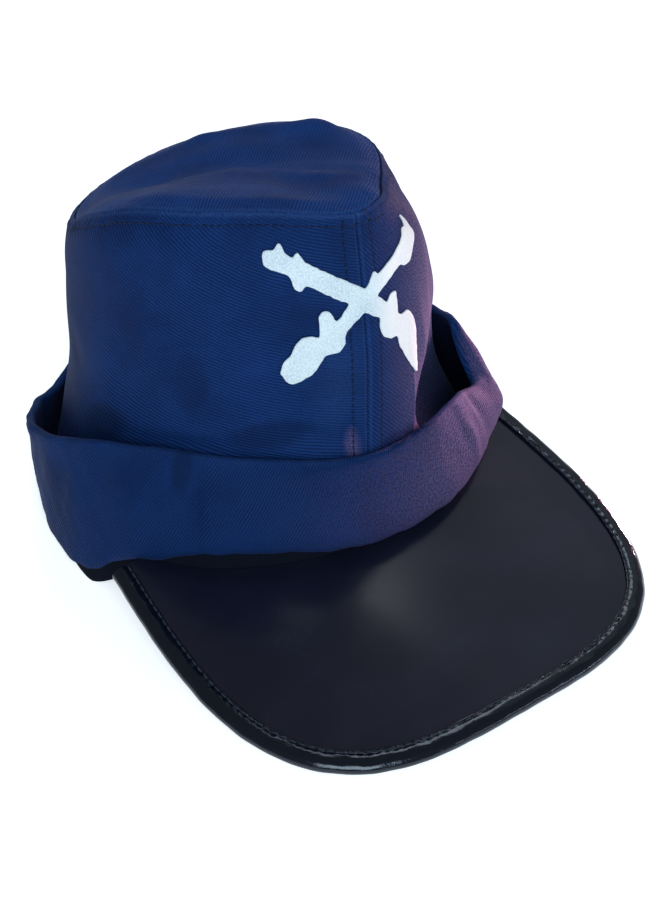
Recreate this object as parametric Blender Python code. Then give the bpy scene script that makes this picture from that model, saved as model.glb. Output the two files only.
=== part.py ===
"""A soft twill kepi cap with a turned-up cuff and a wide bound visor.

The cap stands on a flat surface at z = 0 as it would by itself: on the two front
corners of its visor and on the back of its rim.  It faces -Y, the wearer's left
is +X, and the origin is on the surface, under the middle of the whole cap.
Azimuths are in degrees about the crown's axis: 0 is the front seam, positive
towards the wearer's left, 180 the back.  Sizes are in millimetres until mm().
"""
import math

import bpy
from mathutils import Vector
from mathutils.geometry import delaunay_2d_cdt

# ---- driving dimensions, in millimetres ---------------------------------------
SLIT = 0.3                    # clearance kept between neighbouring pieces
AXIS_Y = 47.1                 # crown axis, behind the middle of the cap
CLOTH = 2.0                   # crown cloth with its interlining
HIP_HEIGHT = 59.0
WAIST_HEIGHT = 104.5
RIM_FLARE = 0.125             # the wall spreads this much per millimetre below its rim

GORE_STEP = 5.0               # degrees between the points round each ring of cloth
SHOULDER_SHARE = 0.75         # way up from the waist to the top seam

# The crown cloth's outer face: one row for each gore line up the wall.  The wall
# tucks in under the top seam on the wearer's left, and droops at the right back.
CROWN_GORES = (
    # azimuth, rim radius, rim height, hip, waist, shoulder, top radius, top height
    (-150, 88.0, 0.0, 78.5, 74.5, 72.0, 68.5, 127.0),
    (-120, 90.5, 0.0, 77.6, 74.6, 73.2, 69.0, 133.5),
    (-100, 93.6, 0.0, 79.0, 75.0, 72.7, 67.5, 147.8),
    (-88, 95.8, 0.0, 80.0, 75.5, 72.7, 67.0, 156.0),
    (-76, 100.3, 0.0, 81.0, 76.0, 72.5, 66.5, 163.2),
    (-60, 97.5, 16.5, 81.7, 76.5, 72.8, 66.5, 168.8),
    (-30, 92.0, 18.0, 82.6, 78.0, 73.5, 67.5, 172.4),
    (0, 90.5, 16.0, 83.3, 80.0, 72.5, 69.5, 165.7),
    (15, 91.0, 17.0, 83.0, 80.0, 74.2, 64.0, 162.0),
    (28, 92.0, 18.0, 82.5, 80.0, 74.2, 57.5, 157.0),
    (38, 93.5, 18.0, 81.5, 78.0, 68.5, 54.0, 154.5),
    (50, 95.5, 17.5, 81.0, 76.5, 63.8, 53.0, 152.2),
    (62, 98.0, 14.5, 80.5, 75.3, 62.3, 53.8, 149.0),
    (76, 100.3, 0.0, 80.0, 75.0, 63.8, 57.3, 146.4),
    (100, 96.5, 0.0, 80.0, 75.0, 69.5, 65.5, 142.4),
    (120, 92.0, 0.0, 80.0, 75.0, 71.0, 67.5, 138.5),
    (150, 88.5, 0.0, 79.5, 74.0, 71.5, 68.5, 132.0),
    (180, 87.5, 0.0, 79.0, 73.0, 71.0, 68.0, 128.0),
)

# Where the soft wall has sunk in: deepest over the cuff at the wearer's left front.
CROWN_DENTS = (
    # azimuth, height, half width, half height, lean in degrees, depth
    (38, 67, 15.0, 18.0, -14, 15.0),
    (75, 95, 12.0, 16.0, 15, 1.4),
    (140, 88, 16.0, 9.0, 20, 1.6),
    (-165, 86, 17.0, 8.0, -15, 1.6),
)
DEGREE = 1.4                  # millimetres round the wall for each degree

TOP_RISE = 5.0                # crown of the top panel above the plane of its seam
TOP_EDGE_DROP = 2.0           # how far the panel rolls down at the seam
TOP_EDGE_SHARE = 0.08         # half the share of the radius that rolls down
TOP_EASE = 1.35               # how evenly the panel follows its seam in to the middle
TOP_STEPS = 48

BAND_LEG = 1.4                # rim band: cloth folded round the wall's lower edge
BAND_FOLD = 2.0
BAND_HEIGHT = 11.0

CUFF_CLOTH = 3.0              # the cuff is two layers of twill
CUFF_ABOVE_RIM = 4.0          # the rim band shows this much under the cuff
# The turned-up cuff: how far its upper fold stands off the crown, the fold's
# height, how far the cloth bellies out low down, how far its lower edge swings
# out from the rim, how far its middle stands out where it is creased over the
# visor's left end, and how far its lower edge is lifted.
CUFF_SECTIONS = (
    # azimuth, stand-off, fold height, belly, swing, crest, lift
    (-150, 3.0, 34.0, 1.6, 1.0, 0.0, 0.0),
    (-135, 4.5, 33.5, 1.6, 1.0, 0.0, 0.0),
    (-120, 10.5, 41.0, 1.2, 0.5, 0.0, -1.0),
    (-105, 15.0, 49.5, 0.0, 0.0, 0.0, -3.0),
    (-90, 13.5, 59.5, 0.0, 0.0, 0.0, -3.0),
    (-75, 9.5, 68.0, 1.0, 0.0, 0.0, 2.0),
    (-60, 4.0, 71.0, 3.4, 0.0, 0.0, 0.0),
    (-45, 2.0, 71.0, 4.6, 0.0, 0.0, 5.5),
    (-30, 0.6, 69.0, 4.8, 0.0, 0.0, 6.0),
    (-15, 0.6, 65.5, 4.8, 0.0, 0.0, 2.5),
    (0, 0.6, 61.5, 4.6, 2.0, 0.0, 0.0),
    (15, 1.6, 59.5, 4.6, 4.0, 0.0, 0.0),
    (30, 3.8, 57.0, 4.4, 4.6, 0.6, 0.0),
    (45, 7.3, 51.0, 3.5, 4.6, 3.5, 0.0),
    (55, 10.4, 46.5, 3.2, 5.0, 6.2, 0.0),
    (60, 9.5, 59.0, 2.4, 4.8, 5.8, 0.0),
    (65, 9.1, 68.5, 1.7, 3.8, 4.5, 0.0),
    (70, 8.6, 66.0, 1.6, 3.2, 3.2, 0.0),
    (85, 7.4, 60.5, 1.8, 1.9, 1.0, 0.0),
    (100, 6.5, 57.0, 2.2, 2.0, 0.0, 0.0),
    (140, 4.0, 46.0, 2.2, 1.8, 0.0, 0.0),
    (180, 3.5, 37.0, 1.6, 1.2, 0.0, 0.0),
)
CUFF_DOWN_FROM = 60.0         # past the visor's ends the cuff comes down to the rim
CUFF_DOWN_TO = 74.0
CUFF_LIFT_FROM = 40.0         # towards them it lifts to clear the visor's binding
CUFF_LIFT_TO = 55.0

VISOR_BASE_Y = -0.4           # line through the ends of the visor's outer edge
VISOR_HALF_WIDTH = 100.7
VISOR_FLARE = 13.8            # extra half width at the front
VISOR_REACH = 142.5           # along the slope, from the base line to the front
VISOR_SQUARENESS = 3.0
VISOR_SLOPE = 10.0            # degrees, down to the front
VISOR_BOW = 0.00084           # per millimetre: the sides curve down
VISOR_HEIGHT = 29.3           # middle of the sheet on the base line
VISOR_SHEET = 2.0
VISOR_END_AZIMUTH = 61.5      # where the inner edge stops at each temple
EDGE_BUNCHING = 0.35          # draws the outline's points towards the visor's ends

BINDING_SKIN = 1.2
BINDING_WIDTH = 8.0
BINDING_ROUND = 0.8           # its folded edge is rounded off

PATCH_CLOTH = 1.0             # crossed muskets, cut from one piece of cloth
PATCH_GRID = 6.0
PATCH_CENTRE_HEIGHT = 130.5
# The two muskets are cut by hand and differ; the wearer's left one has the longer butt.
MUSKETS = (
    # outlines across and up from the crossing, clockwise from the muzzle
    ((-37.6, 28.6), (-33.6, 28.3), (-31.4, 31.4), (-29.6, 26.4), (-27.4, 24.4), (-25.2, 26.8),
     (-23.2, 21.8), (0.0, 5.0), (8.4, -2.6), (10.2, -5.2), (12.2, -2.0), (15.3, -1.4),
     (15.9, -12.4), (18.6, -13.6), (21.8, -12.8), (25.0, -16.8), (27.9, -23.8), (29.0, -45.6),
     (26.4, -44.0), (17.0, -27.4), (15.4, -21.4), (11.6, -21.4), (7.6, -18.6), (6.2, -14.1),
     (6.7, -10.0), (3.4, -8.2), (0.0, -5.4), (-6.8, 0.6), (-12.5, 4.3), (-23.4, 12.8),
     (-25.2, 10.0), (-27.8, 11.4), (-29.0, 17.4), (-31.6, 18.8), (-38.2, 22.2)),
    ((26.4, 24.8), (28.0, 22.6), (27.9, 19.2), (29.3, 15.6), (27.4, 12.0), (23.6, 6.6),
     (20.4, 6.2), (17.6, 8.4), (5.8, 0.0), (0.0, -4.8), (-9.2, -11.0), (-9.4, -15.8),
     (-12.2, -19.0), (-18.0, -18.6), (-22.6, -25.4), (-29.3, -28.4), (-33.4, -28.4),
     (-36.4, -23.4), (-34.7, -18.8), (-31.4, -16.6), (-29.4, -12.2), (-26.6, -9.6),
     (-22.6, -9.4), (-19.3, -11.4), (-19.6, -1.4), (-17.8, 0.5), (-15.0, -0.3), (-12.4, -6.2),
     (-7.0, 0.4), (1.8, 4.9), (5.0, 10.6), (6.8, 8.0), (20.2, 17.0), (22.8, 20.8), (25.0, 20.2)),
)


def mm(x, y, z):
    """A point given in millimetres, in metres."""
    return Vector((x, y, z)) * 0.001


def hermite(before, start, end, after, spans, share):
    """Cubic through start and end, whose slopes come from the points around."""
    span_before, span, span_after = spans
    slope_start = (end - before) / (span_before + span) * span
    slope_end = (after - start) / (span + span_after) * span
    s2, s3 = share * share, share ** 3
    return (start * (2 * s3 - 3 * s2 + 1) + slope_start * (s3 - 2 * s2 + share)
            + end * (3 * s2 - 2 * s3) + slope_end * (s3 - s2))


def around(rows, azimuth, column):
    """A column of a table whose rows go once round the cap, at any azimuth."""
    angle = (azimuth + 180.0) % 360.0 - 180.0
    if angle < rows[0][0]:
        angle += 360.0
    count = len(rows)
    index = max(i for i in range(count) if rows[i][0] <= angle)

    def knot(i):
        turns, i = divmod(i, count)
        return rows[i][0] + 360.0 * turns, rows[i][column]

    (a0, v0), (a1, v1), (a2, v2), (a3, v3) = (knot(index + k) for k in (-1, 0, 1, 2))
    return hermite(v0, v1, v2, v3, (a1 - a0, a2 - a1, a3 - a2), (angle - a1) / (a2 - a1))


def polar(azimuth, radius):
    """Plan position at an azimuth and radius from the crown's axis."""
    angle = math.radians(azimuth)
    return radius * math.sin(angle), AXIS_Y - radius * math.cos(angle)


def crown_radius(azimuth, height):
    """Radius of the crown cloth's outer face at a height, before its dents."""
    columns = range(1, len(CROWN_GORES[0]))
    rim, rim_z, hip, waist, shoulder, top, top_z = (around(CROWN_GORES, azimuth, c)
                                                    for c in columns)
    shoulder_z = WAIST_HEIGHT + SHOULDER_SHARE * (top_z - WAIST_HEIGHT)
    below, above = rim_z - HIP_HEIGHT, top_z + (top_z - shoulder_z)
    levels = ((below, rim + RIM_FLARE * HIP_HEIGHT), (rim_z, rim), (HIP_HEIGHT, hip),
              (WAIST_HEIGHT, waist), (shoulder_z, shoulder), (top_z, top),
              (above, 2.0 * top - shoulder))
    index = 1
    while index < len(levels) - 3 and levels[index + 1][0] <= height:
        index += 1
    (z0, r0), (z1, r1), (z2, r2), (z3, r3) = levels[index - 1:index + 3]
    return hermite(r0, r1, r2, r3, (z1 - z0, z2 - z1, z3 - z2), (height - z1) / (z2 - z1))


def hump(value, half_width):
    """1 at zero, falling smoothly to nothing about two half widths away."""
    return math.exp(-(value / half_width) ** 2)


def dents(azimuth, height):
    """How far the wall has sunk in."""
    total = 0.0
    for middle, up, half_width, half_height, lean, depth in CROWN_DENTS:
        x = ((azimuth - middle + 180.0) % 360.0 - 180.0) * DEGREE
        y = height - up
        c, s = math.cos(math.radians(lean)), math.sin(math.radians(lean))
        total += depth * hump(x * c + y * s, half_width) * hump(y * c - x * s, half_height)
    return total


def crown_face(azimuth, height):
    """Point on the crown cloth's outer face."""
    x, y = polar(azimuth, crown_radius(azimuth, height) - dents(azimuth, height))
    return Vector((x, y, height))


def crown_normal(azimuth, height):
    """Outward direction of the crown cloth."""
    along = crown_face(azimuth + 0.5, height) - crown_face(azimuth - 0.5, height)
    up = crown_face(azimuth, height + 0.5) - crown_face(azimuth, height - 0.5)
    return along.cross(up).normalized()


def rim_height(azimuth):
    """Height of the rim's lower edge; it lies flat on the surface at the back."""
    return max(0.0, around(CROWN_GORES, azimuth, 2))


def visor_middle(x, y):
    """Height of the middle of the visor's sheet."""
    drop = (VISOR_BASE_Y - y) * math.tan(math.radians(VISOR_SLOPE))
    return VISOR_HEIGHT - drop - VISOR_BOW * x * x


def ease(value, start, end):
    """0 at start and before, 1 at end and past it, smooth between."""
    share = min(1.0, max(0.0, (value - start) / (end - start)))
    return share * share * (3.0 - 2.0 * share)


# ---- meshes ---------------------------------------------------------------------
def material(name, colour, roughness, metallic=0.0):
    """A plain finish."""
    finish = bpy.data.materials.new(name)
    finish.use_nodes = True
    shader = finish.node_tree.nodes["Principled BSDF"]
    shader.inputs["Base Color"].default_value = (*colour, 1.0)
    shader.inputs["Roughness"].default_value = roughness
    shader.inputs["Metallic"].default_value = metallic
    return finish


def add_piece(name, points, faces, finish):
    """One closed mesh object from points in millimetres."""
    mesh = bpy.data.meshes.new(name)
    mesh.from_pydata([mm(*p) for p in points], [], faces)
    mesh.shade_smooth()
    mesh.set_sharp_from_angle(angle=math.radians(40.0))
    mesh.materials.append(finish)
    piece = bpy.data.objects.new(name, mesh)
    bpy.context.collection.objects.link(piece)
    return piece


def tube_faces(sections, size, closed):
    """Quads between rings of points; open tubes get an end face of quads."""
    faces = []
    for i in range(sections if closed else sections - 1):
        here, ahead = i * size, (i + 1) % sections * size
        for j in range(size):
            k = (j + 1) % size
            faces.append((here + j, ahead + j, ahead + k, here + k))
    return faces


def strip_ends(sections, size):
    """End caps of an open tube whose section runs out one face and back the other."""
    faces = []
    half = size // 2
    last = (sections - 1) * size
    for j in range(half - 1):
        k = size - 1 - j
        faces.append((j, j + 1, k - 1, k))
        faces.append((last + k, last + k - 1, last + j + 1, last + j))
    return faces


def angles(start, end, count):
    """Evenly spaced azimuths, both ends included."""
    return [start + (end - start) * i / (count - 1) for i in range(count)]


def full_turn():
    """Azimuths once round the cap, at the step that all the cloth rings share."""
    return [-180.0 + GORE_STEP * i for i in range(int(360.0 / GORE_STEP))]


# ---- top panel --------------------------------------------------------------------
def seam_height(azimuth):
    """Height of the seam between the top panel and the wall."""
    return around(CROWN_GORES, azimuth, 7)


def top_face(azimuth, share):
    """Point on the top panel's outer face, share of the way out to its seam."""
    radius = around(CROWN_GORES, azimuth, 6)
    x, y = polar(azimuth, radius * share)
    front, back = seam_height(0.0), seam_height(180.0)
    left, right = seam_height(90.0), seam_height(-90.0)
    middle = (front + back + left + right) / 4.0
    swell = TOP_RISE * (1.0 - share ** 3)
    roll = TOP_EDGE_DROP * ease(share, 1.0 - 2.0 * TOP_EDGE_SHARE, 1.0)
    edge = seam_height(azimuth) + TOP_EDGE_DROP
    return Vector((x, y, middle + (edge - middle) * share ** TOP_EASE + swell - roll))


def make_top(finish):
    """Round panel that closes the crown, with its margin rolled down at the seam."""
    shares = (0.2, 0.4, 0.6, 0.78, 0.9, 0.96, 1.0)
    points = [top_face(0.0, 0.0)]
    for share in shares:
        points += [top_face(a, share) for a in angles(-180.0, 180.0, TOP_STEPS + 1)[:-1]]
    upper = len(points)
    points += [p - Vector((0.0, 0.0, CLOTH)) for p in points]
    faces = []
    for j in range(TOP_STEPS):
        k = (j + 1) % TOP_STEPS
        faces.append((0, 1 + j, 1 + k))
        faces.append((upper, upper + 1 + k, upper + 1 + j))
        for i in range(len(shares) - 1):
            here, out = 1 + i * TOP_STEPS, 1 + (i + 1) * TOP_STEPS
            faces.append((here + j, out + j, out + k, here + k))
            faces.append((upper + here + k, upper + out + k, upper + out + j, upper + here + j))
        rim = 1 + (len(shares) - 1) * TOP_STEPS
        faces.append((rim + j, upper + rim + j, upper + rim + k, rim + k))
    add_piece("crown_top", points, faces, finish)


# ---- side panels --------------------------------------------------------------------
def make_side(name, start, end, finish):
    """One side panel of the crown, from the rim to the top seam."""
    steps, levels = int(180.0 / GORE_STEP) + 1, 12
    points = []
    for azimuth in angles(start, end, steps):
        low = rim_height(azimuth) + BAND_FOLD + SLIT
        high = seam_height(azimuth) - CLOTH - SLIT
        heights = [low + (high - low) * i / (levels - 1) for i in range(levels)]
        outer = [crown_face(azimuth, z) for z in heights]
        inner = [p - CLOTH * crown_normal(azimuth, p.z) for p in outer]
        inner[0].z = low
        inner[-1].z = high
        points += outer + inner[::-1]
    faces = tube_faces(steps, 2 * levels, False) + strip_ends(steps, 2 * levels)
    return add_piece(name, points, faces, finish)


# ---- rim band ------------------------------------------------------------------------
def band_outside(azimuth, height):
    """Radius of the rim band's outer face."""
    return crown_radius(azimuth, height) + SLIT + BAND_LEG


def make_band(finish):
    """Folded strip that binds the crown's lower edge and rests on the surface."""
    inside = -CLOTH - 2.0 * SLIT
    points = []
    for azimuth in full_turn():
        foot = rim_height(azimuth)
        section = ((SLIT + BAND_LEG, 0.0), (SLIT + BAND_LEG, BAND_HEIGHT), (SLIT, BAND_HEIGHT),
                   (SLIT, BAND_FOLD), (inside, BAND_FOLD), (inside, BAND_HEIGHT),
                   (inside - BAND_LEG, BAND_HEIGHT), (inside - BAND_LEG, 0.0))
        for out, up in section:
            x, y = polar(azimuth, crown_radius(azimuth, foot + up) + out)
            points.append(Vector((x, y, foot + up)))
    faces = tube_faces(len(full_turn()), 8, True)
    add_piece("rim_band", points, faces, finish)


# ---- cuff -------------------------------------------------------------------------------
def cuff_foot(azimuth):
    """Radius and height of the middle of the cuff's lower fold, against the band."""
    half = CUFF_CLOTH / 2.0
    turn = abs((azimuth + 180.0) % 360.0 - 180.0)
    height = rim_height(azimuth) + CUFF_ABOVE_RIM + half
    if turn < CUFF_DOWN_TO:
        x, y = polar(azimuth, band_outside(azimuth, height) + half)
        skin = (BINDING_SKIN + 3.0 * SLIT) * ease(turn, CUFF_LIFT_FROM, CUFF_LIFT_TO)
        over_visor = visor_middle(x, y) + VISOR_SHEET / 2.0 + 2.0 * SLIT + half + skin
        height = height + (over_visor - height) * (1.0 - ease(turn, CUFF_DOWN_FROM, CUFF_DOWN_TO))
    height += around(CUFF_SECTIONS, azimuth, 6)
    radius = max(band_outside(azimuth, height - half), band_outside(azimuth, height + half))
    return radius + SLIT + half, height


def cuff_line(azimuth):
    """Middle of the cuff's cloth: from the rim, out round its foot and up to its fold."""
    foot_r, foot_z = cuff_foot(azimuth)
    stand, fold_z, belly, swing, crest = (around(CUFF_SECTIONS, azimuth, c) for c in range(1, 6))
    half = CUFF_CLOTH / 2.0
    fold_z -= half
    fold_r = crown_radius(azimuth, fold_z) + stand + half
    line = []
    for share in (0.0, 0.05, 0.2, 0.45, 0.72, 1.0):
        out = belly * math.sin(math.pi * share ** 0.6) + 4.0 * share * (1.0 - share) * crest
        out += swing * (1.0 - share) * ease(share, 0.0, 0.05)
        line.append(Vector((foot_r + (fold_r - foot_r) * share + out,
                            foot_z + (fold_z - foot_z) * share)))
    return line


def make_cuff(finish):
    """Double cloth turned up round the crown, closed at its upper and lower folds."""
    half = CUFF_CLOTH / 2.0
    points = []
    for azimuth in full_turn():
        line = cuff_line(azimuth)
        levels = len(line)
        tangents = [(line[min(i + 1, levels - 1)] - line[max(i - 1, 0)]).normalized()
                    for i in range(levels)]
        outer = [p + half * Vector((t.y, -t.x)) for p, t in zip(line, tangents)]
        inner = [p - half * Vector((t.y, -t.x)) for p, t in zip(line, tangents)]
        section = outer + [line[-1] + half * tangents[-1]]
        section += inner[::-1] + [line[0] - half * tangents[0]]
        for radius, height in section:
            x, y = polar(azimuth, radius)
            points.append(Vector((x, y, height)))
    size = 2 * levels + 2
    faces = tube_faces(len(full_turn()), size, True)
    add_piece("turned_up_cuff", points, faces, finish)


# ---- visor --------------------------------------------------------------------------------
def visor_edge(turn, inset):
    """Plan point on the visor's outline: turn 0 is the wearer's left end, pi the right."""
    def outline(angle):
        c = math.copysign(abs(math.cos(angle)) ** (2.0 / VISOR_SQUARENESS), math.cos(angle))
        s = abs(math.sin(angle)) ** (2.0 / VISOR_SQUARENESS)
        x = c * (VISOR_HALF_WIDTH + VISOR_FLARE * s)
        reach = VISOR_REACH * s * math.cos(math.radians(VISOR_SLOPE))
        return Vector((x, VISOR_BASE_Y - reach))

    here = outline(turn)
    step = 0.01
    ahead, behind = outline(min(turn + step, math.pi)), outline(max(turn - step, 0.0))
    along = (ahead - behind).normalized()
    outward = Vector((-along.y, along.x))
    if outward.dot(here - Vector((0.0, VISOR_BASE_Y))) < 0.0:
        outward = -outward
    return here - inset * outward


def edge_turns(count):
    """Turns that space the points along the outline about evenly."""
    turns = [math.pi * i / (count - 1) for i in range(count)]
    return [t + EDGE_BUNCHING * (math.pi * (0.5 - 0.5 * math.cos(t)) - t) for t in turns]


def make_visor(finish):
    """Stiff glossy sheet, bowed across and sloping down to the front."""
    columns, rows = 49, 8
    half = VISOR_SHEET / 2.0
    edge_inset = BINDING_SKIN + SLIT
    points = []
    for i, turn in enumerate(edge_turns(columns)):
        azimuth = VISOR_END_AZIMUTH * (1.0 - 2.0 * i / (columns - 1))
        radius = band_outside(azimuth, VISOR_HEIGHT)
        for _ in range(4):
            x, y = polar(azimuth, radius)
            radius = band_outside(azimuth, visor_middle(x, y)) + 1.5 * SLIT
        inner = Vector(polar(azimuth, radius))
        outer = visor_edge(turn, edge_inset)
        line = [inner.lerp(outer, j / (rows - 1)) for j in range(rows)]
        upper = [Vector((p.x, p.y, visor_middle(p.x, p.y) + half)) for p in line]
        lower = [p - Vector((0.0, 0.0, VISOR_SHEET)) for p in upper]
        points += upper + lower[::-1]
    faces = tube_faces(columns, 2 * rows, False) + strip_ends(columns, 2 * rows)
    add_piece("visor", points, faces, finish)


def make_binding(finish):
    """Strip folded over the visor's outer edge."""
    steps = 61
    skin = VISOR_SHEET / 2.0 + SLIT
    top = skin + BINDING_SKIN
    side = top - BINDING_ROUND
    section = ((BINDING_WIDTH, top), (BINDING_ROUND, top), (0.0, side), (0.0, -side),
               (BINDING_ROUND, -top), (BINDING_WIDTH, -top), (BINDING_WIDTH, -skin),
               (BINDING_SKIN, -skin), (BINDING_SKIN, skin), (BINDING_WIDTH, skin))
    points = []
    for turn in edge_turns(steps):
        for inset, up in section:
            p = visor_edge(turn, inset)
            points.append(Vector((p.x, p.y, visor_middle(p.x, p.y) + up)))
    size = len(section)
    last = (steps - 1) * size
    faces = tube_faces(steps, size, False)
    ends = ((0, 1, 8, 9), (1, 2, 3, 8), (3, 4, 7, 8), (4, 5, 6, 7))
    faces += [f for f in ends] + [tuple(last + i for i in f[::-1]) for f in ends]
    add_piece("visor_binding", points, faces, finish)


# ---- crossed muskets ----------------------------------------------------------------------
def musket_outline(corners):
    """One musket's flat outline with points at least every grid step."""
    outline = []
    corners = [Vector(c) for c in corners]
    for here, ahead in zip(corners, corners[1:] + corners[:1]):
        pieces = max(1, math.ceil((ahead - here).length / PATCH_GRID))
        outline += [here.lerp(ahead, i / pieces) for i in range(pieces)]
    return outline


def patch_point(flat, lift):
    """A flat point laid on the front of the crown, lift above its face."""
    across, up = flat
    azimuth = math.degrees(across / crown_radius(0.0, PATCH_CENTRE_HEIGHT + up))
    height = PATCH_CENTRE_HEIGHT
    steps = 12
    for _ in range(steps):
        height += crown_normal(azimuth, height).to_2d().length * up / steps
    return crown_face(azimuth, height) + lift * crown_normal(azimuth, height)


def make_muskets(finish):
    """The two muskets are one piece of white cloth laid over the front seam."""
    flat, loops = [], []
    for corners in MUSKETS:
        outline = musket_outline(corners)
        loops.append(list(range(len(flat), len(flat) + len(outline))))
        flat += outline
    reach = max(abs(size) for corners in MUSKETS for corner in corners for size in corner)
    cells = math.ceil(reach / PATCH_GRID)
    for row in range(-cells, cells + 1):
        flat += [Vector((column, row)) * PATCH_GRID for column in range(-cells, cells + 1)]
    parts = delaunay_2d_cdt(flat, [], loops, 1, 1e-4)
    spots, triangles = parts[0], [tuple(t) for t in parts[2]]
    used = sorted({i for t in triangles for i in t})
    order = {old: new for new, old in enumerate(used)}
    triangles = [tuple(order[i] for i in t) for t in triangles]
    spots = [spots[i] for i in used]
    count = len(spots)
    points = [patch_point(p, SLIT + PATCH_CLOTH) for p in spots]
    points += [patch_point(p, SLIT) for p in spots]
    edges = {(t[i], t[(i + 1) % 3]) for t in triangles for i in range(3)}
    rim = [e for e in edges if e[::-1] not in edges]
    faces = [t for t in triangles] + [tuple(count + i for i in t[::-1]) for t in triangles]
    faces += [(a, a + count, b + count, b) for a, b in sorted(rim)]
    add_piece("crossed_muskets", points, faces, finish)


def main():
    """Build the cap from its crown down to the visor's edge."""
    for old in list(bpy.data.objects):
        bpy.data.objects.remove(old, do_unlink=True)
    twill = material("navy_twill", (0.012, 0.035, 0.125), 0.85)
    hem = material("dark_hem_cloth", (0.02, 0.03, 0.06), 0.9)
    gloss = material("black_gloss_vinyl", (0.006, 0.008, 0.016), 0.18)
    edge = material("black_binding_vinyl", (0.008, 0.009, 0.014), 0.28)
    white = material("white_applique_cloth", (0.75, 0.82, 0.88), 0.8)
    seam = math.degrees(SLIT / 2.0 / CROWN_GORES[0][5])
    make_top(twill)
    make_side("crown_side_left", seam, 180.0 - seam, twill)
    make_side("crown_side_right", seam - 180.0, -seam, twill)
    make_band(hem)
    make_cuff(twill)
    make_visor(gloss)
    make_binding(edge)
    make_muskets(white)


main()
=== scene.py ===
import math

import bmesh
import bpy
import numpy as np
from mathutils import Matrix, Vector
from mathutils.geometry import delaunay_2d_cdt


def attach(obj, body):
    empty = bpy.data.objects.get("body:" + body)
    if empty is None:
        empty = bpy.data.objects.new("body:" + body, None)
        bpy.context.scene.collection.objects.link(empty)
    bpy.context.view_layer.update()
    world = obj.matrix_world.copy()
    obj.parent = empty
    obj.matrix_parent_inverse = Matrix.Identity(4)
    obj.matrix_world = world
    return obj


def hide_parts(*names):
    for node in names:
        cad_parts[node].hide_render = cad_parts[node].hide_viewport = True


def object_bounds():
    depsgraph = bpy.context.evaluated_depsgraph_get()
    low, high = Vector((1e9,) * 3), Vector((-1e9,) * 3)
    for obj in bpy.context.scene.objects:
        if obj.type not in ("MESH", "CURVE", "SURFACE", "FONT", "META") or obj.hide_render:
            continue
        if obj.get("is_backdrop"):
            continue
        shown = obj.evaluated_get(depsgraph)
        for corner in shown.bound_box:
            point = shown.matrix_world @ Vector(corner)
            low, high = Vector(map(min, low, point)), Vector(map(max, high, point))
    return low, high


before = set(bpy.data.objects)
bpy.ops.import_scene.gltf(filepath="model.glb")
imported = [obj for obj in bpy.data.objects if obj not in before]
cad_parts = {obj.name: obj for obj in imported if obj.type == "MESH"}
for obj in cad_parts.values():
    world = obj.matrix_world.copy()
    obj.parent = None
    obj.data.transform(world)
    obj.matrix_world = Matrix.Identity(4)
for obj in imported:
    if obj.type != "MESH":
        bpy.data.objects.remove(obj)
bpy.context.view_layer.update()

# ---- side panels ---------------------------------------------------------------------
# The crown's wall is two panels of navy polyester twill on a thin interlining.  They
# are sewn together down the front and the back; the front seam's allowances are
# pressed open and stitched down on both sides.  Sizes are in millimetres until add().
MM = 0.001
AXIS_Y = 47.1                 # crown axis, behind the middle of the cap
CLOTH = 2.0
HIP_HEIGHT = 59.0
WAIST_HEIGHT = 104.5
SHOULDER_SHARE = 0.75
RIM_FLARE = 0.125
DEGREE = 1.4                  # millimetres round the wall for each degree
SEAM_ROLL = 0.9               # how far the cloth's edge rolls in at a seam
ROLL_WIDTH = 1.1              # and how near the seam the roll starts
ALLOWANCE = 6.8               # from the front seam to the stitches beside it
TOP_ALLOWANCE = 5.4           # and from the top seam
ALLOWANCE_LIFT = 0.45         # the folded allowance under the cloth lifts it
STITCH_PULL = 0.4             # and its stitches pull the cloth down
TOP_SEAM_DROP = 0.7           # the wall ends this far under the top panel's edge
PANEL_FOOT = 2.3              # the rim band folds under the wall
BAND_HEIGHT = 11.0            # and keeps it smooth up to here
SLACK_REACH = 15.0            # the folds come in over this height above the band
WAVE_DEPTH = 0.35             # slow unevenness of the cloth
WAVE_LENGTH = 46.0
TOP_PUCKER = 0.28             # puckers beside the stitches of the top seam
FRONT_PUCKER = 0.16           # and of the front seam
FINE_STEP = 0.35              # the mesh is finer within FINE_REACH of a seam
FINE_REACH = 9.0
COARSE_STEP = 1.45
PANEL_ROWS = 100              # rows of points up to the fine ones

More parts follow.
